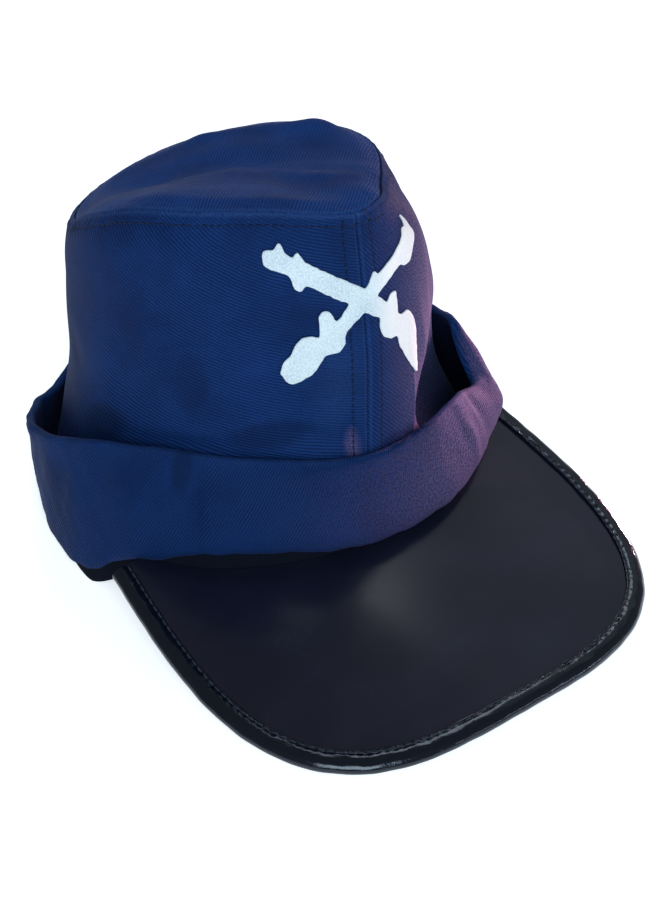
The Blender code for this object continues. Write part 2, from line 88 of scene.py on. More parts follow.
CROWN_GORES = (
    # azimuth, rim radius, rim height, hip, waist, shoulder, top radius, top height
    (-150, 88.0, 0.0, 78.5, 74.5, 72.0, 68.5, 127.0),
    (-120, 90.5, 0.0, 77.6, 74.6, 73.2, 69.0, 133.5),
    (-100, 93.6, 0.0, 79.0, 75.0, 72.7, 67.5, 147.8),
    (-88, 95.8, 0.0, 80.0, 75.5, 72.7, 67.0, 156.0),
    (-76, 100.3, 0.0, 81.0, 76.0, 72.5, 66.5, 163.2),
    (-60, 97.5, 16.5, 81.7, 76.5, 72.8, 66.5, 168.8),
    (-30, 92.0, 18.0, 82.6, 78.0, 73.5, 67.5, 172.4),
    (0, 90.5, 16.0, 83.3, 80.0, 72.5, 69.5, 165.7),
    (15, 91.0, 17.0, 83.0, 80.0, 74.2, 64.0, 162.0),
    (28, 92.0, 18.0, 82.5, 80.0, 74.2, 57.5, 157.0),
    (38, 93.5, 18.0, 81.5, 78.0, 68.5, 54.0, 154.5),
    (50, 95.5, 17.5, 81.0, 76.5, 63.8, 53.0, 152.2),
    (62, 98.0, 14.5, 80.5, 75.3, 62.3, 53.8, 149.0),
    (76, 100.3, 0.0, 80.0, 75.0, 63.8, 57.3, 146.4),
    (100, 96.5, 0.0, 80.0, 75.0, 69.5, 65.5, 142.4),
    (120, 92.0, 0.0, 80.0, 75.0, 71.0, 67.5, 138.5),
    (150, 88.5, 0.0, 79.5, 74.0, 71.5, 68.5, 132.0),
    (180, 87.5, 0.0, 79.0, 73.0, 71.0, 68.0, 128.0),
)
WALL_FOLDS = (
    # azimuth, height, half width, half height, lean in degrees, depth (out is more)
    (-16, 75, 15.0, 4.5, -28, -2.3),
    (-50, 73, 15.0, 4.0, 6, -2.2),
    (-33, 84, 12.0, 7.0, 20, 0.8),
    (-72, 90, 9.0, 22.0, 0, -0.7),
    (-58, 120, 14.0, 16.0, 30, 0.5),
    (-30, 118, 20.0, 6.0, 12, -0.5),
    (18.5, 74, 2.4, 22.0, 5, 1.7),
    (38, 62, 15.0, 23.0, -14, -15.0),
    (11, 64, 4.5, 14.0, -8, -1.2),
    (24, 104, 3.0, 18.0, 14, 1.0),
    (36, 120, 5.0, 18.0, 0, -1.0),
    (75, 95, 12.0, 16.0, 15, -1.4),
    (110, 100, 10.0, 22.0, -12, 1.2),
    (140, 88, 16.0, 9.0, 20, -1.6),
    (170, 104, 12.0, 12.0, -20, 1.0),
    (-165, 86, 17.0, 8.0, -15, -1.6),
    (-128, 98, 11.0, 20.0, 14, 1.2),
    (-105, 84, 12.0, 10.0, -20, -1.2),
)


def hermite(before, start, end, after, spans, share):
    """Cubic through start and end, whose slopes come from the points around."""
    span_before, span, span_after = spans
    slope_start = (end - before) / (span_before + span) * span
    slope_end = (after - start) / (span + span_after) * span
    s2, s3 = share ** 2, share ** 3
    return (start * (2 * s3 - 3 * s2 + 1) + slope_start * (s3 - 2 * s2 + share)
            + end * (3 * s2 - 2 * s3) + slope_end * (s3 - s2))


def around(rows, azimuth, column):
    """A column of a table whose rows go once round the cap, at any azimuths."""
    table = np.array(rows, float)
    knots = np.concatenate([table[-2:, 0] - 360.0, table[:, 0], table[:3, 0] + 360.0])
    values = np.concatenate([table[-2:, column], table[:, column], table[:3, column]])
    angle = (np.asarray(azimuth, float) - table[0, 0]) % 360.0 + table[0, 0]
    i = np.searchsorted(knots, angle, side="right") - 1
    spans = [knots[i + k] - knots[i + k - 1] for k in (0, 1, 2)]
    return hermite(values[i - 1], values[i], values[i + 1], values[i + 2], spans,
                   (angle - knots[i]) / spans[1])


def ease(value, start, end):
    """0 at start and before, 1 at end and past it, smooth between."""
    share = np.clip((value - start) / (end - start), 0.0, 1.0)
    return share * share * (3.0 - 2.0 * share)


def hump(value, middle, half_width):
    """1 at the middle, falling smoothly to nothing about two half widths away."""
    return np.exp(-((value - middle) / half_width) ** 2)


def ripple(u, v, length, seed):
    """Smooth uneven waves between about -1 and 1, of about the given length."""
    draw = np.random.default_rng(seed)
    total = 0.0
    for turn, size, phase in zip(draw.uniform(0, math.tau, 7), draw.uniform(0.6, 1.6, 7),
                                 draw.uniform(0, math.tau, 7)):
        step = math.tau / (length * size)
        total = total + np.sin((u * math.cos(turn) + v * math.sin(turn)) * step + phase)
    return total / 3.0


def turn_from(azimuth, middle):
    """Degrees from a middle azimuth, from -180 to 180."""
    return (azimuth - middle + 180.0) % 360.0 - 180.0


def from_front(azimuth, scale=DEGREE):
    """Millimetres round to the wearer's left from the front seam."""
    return turn_from(azimuth, 0.0) * scale


def joined(*columns):
    """Rows of points or cloth coordinates from their columns."""
    return np.stack(np.broadcast_arrays(*columns), -1)


def unit(vectors):
    """The same directions, one long."""
    return vectors / np.linalg.norm(vectors, axis=-1, keepdims=True)


def on_axis(azimuth, radius, height):
    """Points at an azimuth and radius from the crown's axis."""
    angle = np.radians(azimuth)
    return joined(radius * np.sin(angle), AXIS_Y - radius * np.cos(angle), height)


def crown_radius(azimuth, height):
    """Radius of the smooth wall's outer face."""
    azimuth, height = np.broadcast_arrays(np.asarray(azimuth, float), np.asarray(height, float))
    rim, rim_z, hip, waist, shoulder, top, top_z = (around(CROWN_GORES, azimuth, c)
                                                    for c in range(1, 8))
    shoulder_z = WAIST_HEIGHT + SHOULDER_SHARE * (top_z - WAIST_HEIGHT)
    same = np.ones_like(height)
    z = np.stack([rim_z - HIP_HEIGHT, rim_z, same * HIP_HEIGHT, same * WAIST_HEIGHT, shoulder_z,
                  top_z, 2.0 * top_z - shoulder_z])
    r = np.stack([rim + RIM_FLARE * HIP_HEIGHT, rim, hip, waist, shoulder, top,
                  2.0 * top - shoulder])
    index = 1 + sum((height >= z[k]).astype(int) for k in (2, 3, 4))
    z0, z1, z2, z3 = (np.take_along_axis(z, (index + k)[None], 0)[0] for k in (-1, 0, 1, 2))
    r0, r1, r2, r3 = (np.take_along_axis(r, (index + k)[None], 0)[0] for k in (-1, 0, 1, 2))
    return hermite(r0, r1, r2, r3, (z1 - z0, z2 - z1, z3 - z2), (height - z1) / (z2 - z1))


def seam_height(azimuth):
    """Height of the seam between the top panel and the wall."""
    return around(CROWN_GORES, azimuth, 7)


def rim_height(azimuth):
    """Height of the rim's lower edge; it lies flat on the surface at the back."""
    return np.maximum(0.0, around(CROWN_GORES, azimuth, 2))


def folds(rows, azimuth, height, scale):
    """The soft dents and ridges of a table, added up."""
    total = 0.0
    for middle, up, half_width, half_height, lean, depth in rows:
        x, y = turn_from(azimuth, middle) * scale, height - up
        c, s = math.cos(math.radians(lean)), math.sin(math.radians(lean))
        total = total + depth * hump(x * c + y * s, 0.0, half_width) * hump(y * c - x * s, 0.0,
                                                                           half_height)
    return total


def seam_relief(distance, lifted, allowance=ALLOWANCE):
    """Height of the cloth beside a seam: rolled in at it, lifted, pulled down by stitches."""
    away = np.abs(distance)
    turned = np.clip(1.0 - away / ROLL_WIDTH, 0.0, 1.0)
    rolled = -SEAM_ROLL * (1.0 - np.sqrt(1.0 - turned ** 2))
    lift = ALLOWANCE_LIFT * ease(away, 0.0, 2.0)
    lift = lift * (1.0 - ease(away, allowance - 0.6, allowance + 1.0))
    return rolled + lifted * (lift - STITCH_PULL * hump(away, allowance, 0.7))


def wall_radius(azimuth, height, sewn=True):
    """Radius of the wall's outer face with its folds, and with its seams if sewn."""
    u = from_front(azimuth)
    below = seam_height(azimuth) - height
    slack = ease(height - rim_height(azimuth), BAND_HEIGHT, BAND_HEIGHT + SLACK_REACH)
    radius = crown_radius(azimuth, height) + slack * folds(WALL_FOLDS, azimuth, height, DEGREE)
    radius = radius + WAVE_DEPTH * ease(below, 4.0, 18.0) * ripple(u, height, WAVE_LENGTH, 3)
    if not sewn:
        return radius
    pucker = ripple(u * 2.4, height * 0.5, 9.0, 8) * hump(below, TOP_ALLOWANCE - 1.5, 3.4)
    radius = radius + TOP_PUCKER * pucker
    pucker = ripple(u * 0.4, height * 1.6, 8.0, 5) * hump(np.abs(u), ALLOWANCE * 0.6, 3.2)
    radius = radius + FRONT_PUCKER * pucker
    radius = radius + seam_relief(turn_from(azimuth, 180.0) * DEGREE, 0.3)
    return radius + seam_relief(u, 1.0) + seam_relief(below, 1.0, TOP_ALLOWANCE)


def wall_point(azimuth, height):
    """Points on the outer face of the sewn wall."""
    return on_axis(azimuth, wall_radius(azimuth, height), height)


def lining(outer, depth):
    """The grid's other face, depth below it; rows go up or out, columns to the left."""
    return outer - depth * unit(np.cross(np.gradient(outer, axis=1), np.gradient(outer, axis=0)))


def add(name, points, faces, cloth, finish):
    """One smooth mesh from points in millimetres, with its cloth coordinates."""
    mesh = bpy.data.meshes.new(name)
    mesh.from_pydata((points * MM).tolist(), [], faces)
    made = mesh.attributes.new("cloth", "FLOAT_VECTOR", "POINT")
    made.data.foreach_set("vector", np.asarray(cloth, np.float32).ravel())
    work = bmesh.new()
    work.from_mesh(mesh)
    bmesh.ops.remove_doubles(work, verts=work.verts, dist=1e-7)
    bmesh.ops.recalc_face_normals(work, faces=work.faces)
    work.to_mesh(mesh)
    work.free()
    mesh.shade_smooth()
    mesh.set_sharp_from_angle(angle=math.radians(60.0))
    mesh.materials.append(finish)
    piece = bpy.data.objects.new(name, mesh)
    bpy.context.scene.collection.objects.link(piece)
    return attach(piece, "root")


def numbered(rows, columns, wrap=False):
    """A grid of point numbers; a wrapped one ends with its first column again."""
    index = np.arange(rows * columns).reshape(rows, columns)
    return np.concatenate([index, index[:, :1]], axis=1) if wrap else index


def quads(index):
    """Faces between the neighbouring rows and columns of a grid of point numbers."""
    corners = [index[:-1, :-1], index[:-1, 1:], index[1:, 1:], index[1:, :-1]]
    return np.stack(corners, -1).reshape(-1, 4)


def shell(name, outer, inner, cloth, finish, wrap=False):
    """A closed sheet of cloth between two grids of points."""
    index = numbered(*outer.shape[:2], wrap)
    count = outer.shape[0] * outer.shape[1]
    edges = [index[0], index[-1]] if wrap else [index[0], index[-1], index[:, 0], index[:, -1]]
    strips = [quads(np.stack([edge, edge + count])) for edge in edges]
    faces = np.concatenate([quads(index), quads(index)[:, ::-1] + count] + strips).tolist()
    points = np.concatenate([outer.reshape(-1, 3), inner.reshape(-1, 3)])
    both = np.concatenate([cloth.reshape(-1, 3)] * 2)
    return add(name, points, faces, both, finish)


def math_node(operation, swapped=False):
    """An operator that adds a Math node."""
    def apply(self, other):
        pair = (other, self) if swapped else (self, other)
        return self.finish.node("ShaderNodeMath", {"operation": operation}, dict(enumerate(pair)))
    return apply


class Wire:
    """An output of a finish's node; sums on it add Math nodes."""

    def __init__(self, finish, socket):
        self.finish = finish
        self.socket = socket

    __add__ = __radd__ = math_node("ADD")
    __sub__ = math_node("SUBTRACT")
    __rsub__ = math_node("SUBTRACT", True)
    __mul__ = __rmul__ = math_node("MULTIPLY")
    __truediv__ = math_node("DIVIDE")
    __rtruediv__ = math_node("DIVIDE", True)

    def change(self, operation):
        """A Math node of one value, such as SINE or FLOOR."""
        return self.finish.node("ShaderNodeMath", {"operation": operation}, {0: self})

    def wave(self):
        """Between 0 and 1, up and down once for each whole step of this."""
        return (self * math.tau).change("SINE") * 0.5 + 0.5

    def between(self, start, end):
        """0 where this is start or less, 1 where it is end or more."""
        return self.finish.node("ShaderNodeMapRange", {"interpolation_type": "SMOOTHSTEP"},
                                {0: self, 1: start, 2: end})


class Finish:
    """A material whose nodes all come from one method."""

    def __init__(self, name, constants):
        self.material = bpy.data.materials.new(name)
        self.material.use_nodes = True
        self.tree = self.material.node_tree
        self.shader = self.tree.nodes["Principled BSDF"]
        self.wire(constants)
        self.cloth = self.node("ShaderNodeAttribute", {"attribute_name": "cloth"}, {}, "Vector")
        self.u, self.v, self.wear_and_painted_light = self.node("ShaderNodeSeparateXYZ", {}, {0: self.cloth}, (0, 1, 2))

    def node(self, kind, settings, inputs, out=0):
        """A node with its settings, then the values or links of its inputs."""
        made = self.tree.nodes.new(kind)
        for key, value in settings.items():
            setattr(made, key, value)
        for key, value in inputs.items():
            self.plug(made.inputs[key], value)
        if isinstance(out, tuple):
            return [Wire(self, made.outputs[i]) for i in out]
        return Wire(self, made.outputs[out])

    def plug(self, socket, value):
        """Links a wire to an input, or sets its number or colour."""
        if isinstance(value, Wire):
            self.tree.links.new(value.socket, socket)
        else:
            socket.default_value = (*value, 1.0) if socket.type == "RGBA" else value

    def wire(self, inputs):
        """Sets or links inputs of the surface."""
        for key, value in inputs.items():
            self.plug(self.shader.inputs[key], value)

    def noise(self, scale, detail=2.0, stretch=(1.0, 1.0, 0.0)):
        """Uneven values about 0.5, scale of them to the millimetre."""
        at = self.node("ShaderNodeVectorMath", {"operation": "MULTIPLY"},
                       {0: self.cloth, 1: stretch})
        return self.node("ShaderNodeTexNoise", {}, {"Vector": at, "Scale": scale, "Detail": detail})

    def spot(self, u, v, half_width, half_height):
        """1 in the middle of an oval patch of the cloth, 0 outside it."""
        x, y = (self.u - u) / half_width, (self.v - v) / half_height
        return 1.0 - (x * x + y * y).between(0.1, 1.0)

    def weave(self, pitch):
        """Plain weave, between 0 and 1, its threads half a pitch wide."""
        warp, weft = ((way * (math.tau / pitch)).change("SINE") for way in (self.u, self.v))
        return warp * weft * 0.5 + 0.5

    def mix(self, share, low, high):
        """A colour between two others."""
        return self.node("ShaderNodeMix", {"data_type": "RGBA"}, {0: share, 6: low, 7: high}, 2)

    def bump(self, height, depth):
        """Relief of that height, depth millimetres deep."""
        normal = self.node("ShaderNodeBump", {}, {"Height": height, "Distance": depth * MM})
        self.wire({"Normal": normal})


RIB_PITCH = 1.5               # the twill's ribs
FLOAT_LENGTH = 0.9            # and the slanted floats that each rib is made of
TWILL_DARK = (0.0022, 0.0125, 0.060)
TWILL_LIGHT = (0.0045, 0.028, 0.122)
TWILL_WORN = (0.020, 0.055, 0.18)
# Painted warm light: the purple glow of a warm light from the wearer's left.
TWILL_PAINTED_WARM_LIGHT = (0.150, 0.098, 0.190)
# Painted shade for cloth in hollows, under dents and inside the cuff.
TWILL_PAINTED_SHADE = (0.0008, 0.0035, 0.012)
# Painted warm light on the wall: a purple glow at the wearer's left front and a small pale patch by
# the front seam; the spot with a share below 0 is lighter, in the rubbed-edge colour.
WALL_PAINTED_LIGHT = (
    # azimuth, height, half width, half height, lean in degrees, share (below 0 is lighter)
    (32, 100, 23.5, 70.0, 0, 1.0),
    (-5.5, 68, 3.2, 11.0, 8, 0.5),
    (-9, 98, 11.0, 26.0, 0, -0.4),
)


def twill(name, rib_degrees, sheen, pitch=RIB_PITCH, bright=1.0, stretched=0.0, painted_shade_spots=()):
    """Navy polyester twill, its ribs at an angle to the level.

    Wear above 0 is cloth rubbed bright at an edge; below 0 it is painted warm light, a
    purple glow.  Stretched cloth shows its ribs more plainly low down.  Painted shade
    spots darken the cloth where it lies sunk in, tucked away or inside.
    """
    finish = Finish(name, {"Sheen Weight": sheen, "Sheen Roughness": 0.35,
                           "Sheen Tint": (0.8, 0.8, 1.0), "Specular IOR Level": 0.06})
    c, s = math.cos(math.radians(rib_degrees)), math.sin(math.radians(rib_degrees))
    drift = finish.noise(0.06) * 1.4 + finish.noise(0.45) * 0.35
    across = (finish.v * c - finish.u * s) / pitch + drift
    along = (finish.u * c + finish.v * s) / FLOAT_LENGTH + across.change("FLOOR") * 0.37
    rib, yarn = across.wave(), along.wave()
    fuzz = finish.noise(1.1, 3.0)
    mottle = finish.noise(0.035, 4.0)
    clear = finish.noise(0.025, 2.0).between(0.4, 0.6) * 0.6 + 0.35
    clear = clear + (1.0 - finish.v.between(60.0, 86.0)) * stretched
    shade = (rib - 0.5) * clear + yarn * clear * 0.3 + fuzz * 1.0 + mottle * 1.5 - 0.9
    dark, light = (np.array(colour) * bright for colour in (TWILL_DARK, TWILL_LIGHT))
    colour = finish.mix(shade.between(0.0, 1.0), dark, light)
    speck = fuzz.between(0.3, 0.7)
    colour = finish.mix(finish.wear_and_painted_light * (0.3 + speck * 0.6), colour, TWILL_WORN)
    # Below 0 the third channel paints warm light, a purple glow.
    colour = finish.mix(finish.wear_and_painted_light * (speck * -1.1 - 0.25), colour, TWILL_PAINTED_WARM_LIGHT)
    # Spots of painted shade.
    for u, v, half_width, half_height, share in painted_shade_spots:
        spot = finish.spot(u, v, half_width, half_height)
        colour = finish.mix(spot * share, colour, TWILL_PAINTED_SHADE)
    finish.wire({"Base Color": colour, "Roughness": 0.82 - rib * 0.16})
    finish.bump(rib * (0.5 + yarn * 0.25) + fuzz * 0.8, 0.12)
    return finish.material


SIDES = (
    # node, side, direction of the ribs in degrees, and spots of painted shade:
    # across and up in millimetres, half width, half height, share
    ("crown_side_left", 1.0, -56.0, ((80, 20, 36.0, 44.0, 0.85),)),
    ("crown_side_right", -1.0, -24.0, ((-40, 67, 21.0, 11.0, 0.38), (-116, 72, 17.0, 10.0, 0.45),
                                       (-72, 96, 9.0, 20.0, 0.2))),
)
GRAIN_U = -98.0               # the grain swings round this line on the right side
GRAIN_HEIGHT = 128.0          # and this height, where it isn't turned
GRAIN_REACH = 50.0
GRAIN_SWING = 0.006
near = np.arange(0.0, FINE_REACH, FINE_STEP)
half_way = 180.0 * DEGREE
coarse = np.linspace(FINE_REACH, half_way - FINE_REACH,
                     int((half_way - 2 * FINE_REACH) / COARSE_STEP) + 1)
across = np.concatenate([near, coarse, half_way - near[::-1]])
for node, side, rib_degrees, painted_shade_spots in SIDES:
    azimuth = np.sort(side * across / DEGREE)[None, :]
    top = seam_height(azimuth) - TOP_SEAM_DROP
    bottom = rim_height(azimuth) + PANEL_FOOT
    share = np.linspace(0.0, 1.0, PANEL_ROWS)[:, None]
    height = np.concatenate([bottom + (top - FINE_REACH - bottom) * share,
                             top - near[::-1, None]])
    azimuth = np.broadcast_to(azimuth, height.shape)
    outer = wall_point(azimuth, height)
    u = from_front(azimuth)
    # Rubbed bright at the top and front seams; below 0 it is the painted warm light above.
    worn = 0.8 * hump(seam_height(azimuth) - height, 1.4, 0.9) + 0.5 * hump(np.abs(u), 1.2, 0.7)
    worn = worn - folds(WALL_PAINTED_LIGHT, azimuth, height, DEGREE)
    swing = GRAIN_REACH * np.tanh((u - GRAIN_U) / GRAIN_REACH)
    v = height + swing * (GRAIN_SWING * (height - GRAIN_HEIGHT))
    cloth = joined(u, v, np.clip(worn, -1.0, 1.0))
    finish = twill(node + "_twill", rib_degrees, 0.012, RIB_PITCH, 1.03, 0.8, painted_shade_spots)
    panel = shell(node + "_cloth", outer, lining(outer, CLOTH), cloth, finish)
    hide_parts(node)

# ---- top panel -----------------------------------------------------------------------
# A round panel of the same twill closes the crown.  Its edge is turned in and sewn to
# the wall; the loose cloth lies in soft ridges, and is pinched at its left front end.
TOP_RISE = 5.0
TOP_EDGE_DROP = 2.0
TOP_RIB_PITCH = 1.2
TOP_EDGE_SHARE = 0.08
TOP_EASE = 1.35
TOP_RADIUS = 66.0             # about how wide the panel is
TOP_ROWS = 46                 # rings of points out to the fine ones
TURN_STEP = 1.2               # degrees between the points round the cap
TOP_PINCH = 1.1               # the seam lies deeper round the left front end
PINCH_AZIMUTH = 45.0
PINCH_REACH = 30.0
TOP_FOLDS = (
    # from x, y, to x, y, half width, height
    (-44, 100, 8, 92, 7.0, 1.0),
    (8, 92, 52, 66, 7.0, 1.5),
    (-20, 112, 30, 96, 7.0, -1.0),
    (-30, 66, 30, 48, 14.0, -1.6),
    (-8, 42, 12, 16, 7.0, 0.6),
    (12, 16, 30, 2, 5.0, 0.7),
    (46, 66, 58, 74, 7.0, 1.6),
    (-50, 30, -20, 10, 9.0, 0.6),
    (-44, 62, -56, 84, 8.0, 1.0),
)


def top_relief(x, y):
    """Soft ridges and hollows of the top panel."""
    total = 0.0
    for x0, y0, x1, y1, half_width, height in TOP_FOLDS:
        dx, dy = x1 - x0, y1 - y0
        share = np.clip(((x - x0) * dx + (y - y0) * dy) / (dx * dx + dy * dy), 0.0, 1.0)
        away = np.hypot(x - x0 - share * dx, y - y0 - share * dy)
        total = total + height * hump(away, 0.0, half_width)
    return total


def pinched(azimuth):
    """1 at the pinched end of the top panel, 0 away from it."""
    return hump(turn_from(azimuth, PINCH_AZIMUTH), 0.0, PINCH_REACH)


def top_point(azimuth, share):
    """Point on the top panel's outer face, share of the way out to its seam."""
    seam_radius = around(CROWN_GORES, azimuth, 6)
    flat = on_axis(azimuth, seam_radius * share, 0.0)
    x, y = flat[..., 0], flat[..., 1]
    middle = sum(seam_height(a) for a in (0.0, 90.0, 180.0, -90.0)) / 4.0
    swell = TOP_RISE * (1.0 - share ** 3)
    roll = TOP_EDGE_DROP * ease(share, 1.0 - 2.0 * TOP_EDGE_SHARE, 1.0)
    edge = seam_height(azimuth) + TOP_EDGE_DROP
    height = middle + (edge - middle) * share ** TOP_EASE + swell - roll
    inside = (1.0 - share) * seam_radius
    height = height + top_relief(x, y) * ease(inside, 0.0, 14.0)
    height = height + 0.25 * ripple(x, y, 34.0, 11) * ease(inside, 1.0, 12.0)
    pucker = ripple(azimuth * DEGREE * 1.6, inside, 7.0, 12) * hump(inside, 3.0, 3.5)
    height = height + 0.2 * pucker
    roll = 1.3 + TOP_PINCH * pinched(azimuth)
    tucked = np.clip(1.0 - inside / roll, 0.0, 1.0)
    flat[..., 2] = height - roll * (1.0 - np.sqrt(1.0 - tucked ** 2))
    return flat


azimuth = np.arange(-180.0, 180.0, TURN_STEP)[None, :]
edge_shares = 1.0 - near[::-1] / TOP_RADIUS
share = np.concatenate([np.linspace(0.0, edge_shares[0], TOP_ROWS)[:-1], edge_shares])[:, None]
azimuth, share = np.broadcast_arrays(azimuth, share)
outer = top_point(azimuth, share)
inner = outer - np.array([0.0, 0.0, CLOTH])
worn = 0.9 * hump(share, 1.0, 0.02) * (1.0 - pinched(azimuth))
cloth = joined(outer[..., 0], outer[..., 1], worn)
# The top panel's twill is painted 1.85 times lighter than the walls', as painted light on the top.
top_twill = twill("top_twill", 45.0, 0.035, TOP_RIB_PITCH, 1.85)
top_panel = shell("crown_top_cloth", outer, inner, cloth, top_twill, wrap=True)
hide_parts("crown_top")

# ---- crown stitches ------------------------------------------------------------------
# Dark polyester thread: one row runs round the wall under the top seam, hidden at the
# wearer's left front, and one runs down each side of the front seam.
ROW_FROM = 60.0               # azimuths of the ends of the row under the top seam
ROW_TO = 375.0
SEAM_LOW = 50.0               # the cuff hides the front seam below this
STITCH_PITCH = 2.9
STITCH_SHARE = 0.8            # of the pitch that shows as thread
STITCH_RINGS = 7
STITCH_SIDES = 6
THREAD = 0.3                  # half thickness
THREAD_COLOUR = (0.003, 0.008, 0.03)


def thread_finish(name, colour, gloss):
    """Twisted thread."""
    finish = Finish(name, {"Specular IOR Level": 0.2})
    twist = (finish.u * 5.0 + finish.v).wave()
    finish.wire({"Base Color": finish.mix(twist * 0.5, colour, np.array(colour) * 1.8),
                 "Roughness": gloss + twist * 0.12})
    finish.bump(twist, 0.05)
    return finish.material


def walked(points):
    """Distance walked along rows of points, from 0 at the first."""
    steps = np.linalg.norm(np.diff(points, axis=-2), axis=-1)
    return np.concatenate([np.zeros_like(steps[..., :1]), np.cumsum(steps, axis=-1)], axis=-1)


def stitches(name, runs, pitch, thickness, finish):
    """Short threads laid end to end on runs of (points, outward directions)."""
    rings = np.linspace(-1.0, 1.0, STITCH_RINGS)
    sides = np.linspace(0.0, math.tau, STITCH_SIDES, endpoint=False)
    along, turn = (a.ravel() for a in np.meshgrid(rings, sides, indexing="ij"))
    slim = np.sqrt(np.clip(1.0 - 0.93 * along ** 4, 0.05, 1.0))
    template = joined(along, slim * np.cos(turn), slim * np.sin(turn))
    index = numbered(STITCH_RINGS, STITCH_SIDES, wrap=True)
    thread = quads(index).tolist() + [index[0, :-1].tolist(), index[-1, :-1].tolist()]
    points, faces, cloth = [], [], []
    for path, outward in runs:
        reach = walked(path)
        for middle in np.arange(pitch / 2.0, reach[-1], pitch):
            ends = [np.array([np.interp(middle + k * pitch * STITCH_SHARE / 2.0, reach, path[:, i])
                              for i in range(3)]) for k in (-1, 1)]
            out = np.array([np.interp(middle, reach, outward[:, i]) for i in range(3)])
            forward = (ends[1] - ends[0]) / 2.0
            beside = unit(np.cross(out, forward))
            out = unit(np.cross(forward, beside))
            bow = thickness * (0.55 - 1.2 * template[:, :1] ** 4)
            faces += [[len(points) * len(template) + i for i in face] for face in thread]
            points.append((ends[0] + ends[1]) / 2.0 + template[:, :1] * forward
                          + template[:, 1:2] * beside * thickness
                          + (template[:, 2:] * thickness + bow) * out)
            cloth.append(template * np.array([pitch / 2.0, thickness, 0.0]))
    return add(name, np.concatenate(points), faces, np.concatenate(cloth), finish)


def wall_run(azimuth, height):
    """A line on the wall with its outward directions."""
    azimuth, height = np.broadcast_arrays(np.asarray(azimuth, float), height)
    step = 0.3
    along = wall_point(azimuth + step, height) - wall_point(azimuth - step, height)
    up = wall_point(azimuth, height + step) - wall_point(azimuth, height - step)
    return wall_point(azimuth, height), unit(np.cross(along, up))


ring = np.linspace(ROW_FROM, ROW_TO, 631)
runs = [wall_run(ring, seam_height(ring) - TOP_ALLOWANCE)]
for side in (-1.0, 1.0):
    height = np.linspace(SEAM_LOW, float(seam_height(0.0)) - 1.6, 240)
    runs.append(wall_run(side * ALLOWANCE / DEGREE, height))
crown_thread = thread_finish("crown_thread", THREAD_COLOUR, 0.55)
crown_stitches = stitches("crown_stitches", runs, STITCH_PITCH, THREAD, crown_thread)

# ---- rim band ------------------------------------------------------------------------
# A dark strip of cloth is folded round the wall's lower edge, inside and out.  The cap
# rests on it at the back.
SLIT = 0.3                    # neighbouring pieces keep this far apart
BAND_LEG = 1.4                # thickness of the strip on each face of the wall
BAND_FOLD = 2.0               # and under it
BAND_SCALE = 1.6              # millimetres round the band for each degree
BAND_EDGE_ROUND = 0.7
BAND_FOLD_ROUND = (1.0, 1.2)
# Near-black: the hem cloth's own dark colour, made darker still as painted shade for the strip seen
# under the cuff's lifted edge.
HEM_DARK = (0.002, 0.003, 0.007)
HEM_LIGHT = (0.007, 0.010, 0.020)


def hem_finish():
    """Plain dark woven cloth."""
    finish = Finish("hem_cloth", {"Specular IOR Level": 0.04})
    weave = finish.weave(0.8)
    fuzz = finish.noise(1.8, 3.0)
    finish.wire({"Base Color": finish.mix(weave * 0.4 + fuzz * 0.4, HEM_DARK, HEM_LIGHT),
                 "Roughness": 0.85 - weave * 0.1})
    finish.bump(weave + fuzz * 0.5, 0.12)
    return finish.material


def tube(name, rings, cloth, finish, closed):
    """A solid swept through rings of points; an open one is capped."""
    index = numbered(*rings.shape[:2], wrap=True)
    if closed:
        faces = quads(np.concatenate([index, index[:1]])).tolist()
    else:
        faces = quads(index).tolist() + [index[0, :-1].tolist(), index[-1, :-1].tolist()]
    return add(name, rings.reshape(-1, 3), faces, cloth.reshape(-1, 3), finish)


def arc(middle, size, start, end, count):
    """Points (out, up) on an arc between two angles in degrees."""
    angle = np.radians(np.linspace(start, end, count))
    return joined(middle[0] + size[0] * np.cos(angle), middle[1] + size[1] * np.sin(angle))


ring = np.arange(-180.0, 180.0, TURN_STEP)[:, None]
outside, inside = SLIT + BAND_LEG, -CLOTH - 2.0 * SLIT - BAND_LEG
edge_size, edge_height = (BAND_EDGE_ROUND,) * 2, BAND_HEIGHT - BAND_EDGE_ROUND
fold_wide, fold_high = BAND_FOLD_ROUND
section = np.concatenate([
    arc((outside - fold_wide, fold_high), BAND_FOLD_ROUND, -90.0, 0.0, 5),
    joined(outside, np.linspace(2.5, BAND_HEIGHT - 2.0, 6)),
    arc((SLIT + BAND_EDGE_ROUND, edge_height), edge_size, 0.0, 180.0, 6),
    np.array([[SLIT, 6.0], [SLIT, BAND_FOLD], [inside + BAND_LEG, BAND_FOLD],
              [inside + BAND_LEG, 6.0]]),
    arc((inside + BAND_EDGE_ROUND, edge_height), edge_size, 0.0, 180.0, 6),
    joined(inside, np.linspace(BAND_HEIGHT - 2.0, 2.5, 5)),
    arc((inside + fold_wide, fold_high), BAND_FOLD_ROUND, 180.0, 270.0, 5),
])
out, up = section[None, :, 0], section[None, :, 1]
height = rim_height(ring) + up
crinkle = 0.15 * ripple(ring * BAND_SCALE, up * 2.0, 9.0, 21) * ease(up, 1.0, 4.0) * (out > 0.8)
rings = on_axis(ring, crown_radius(ring, height) + out + crinkle, height)
cloth = joined(ring * BAND_SCALE, walked(section)[None, :], 0.0)
band = tube("rim_band_cloth", rings, cloth, hem_finish(), closed=True)
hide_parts("rim_band")

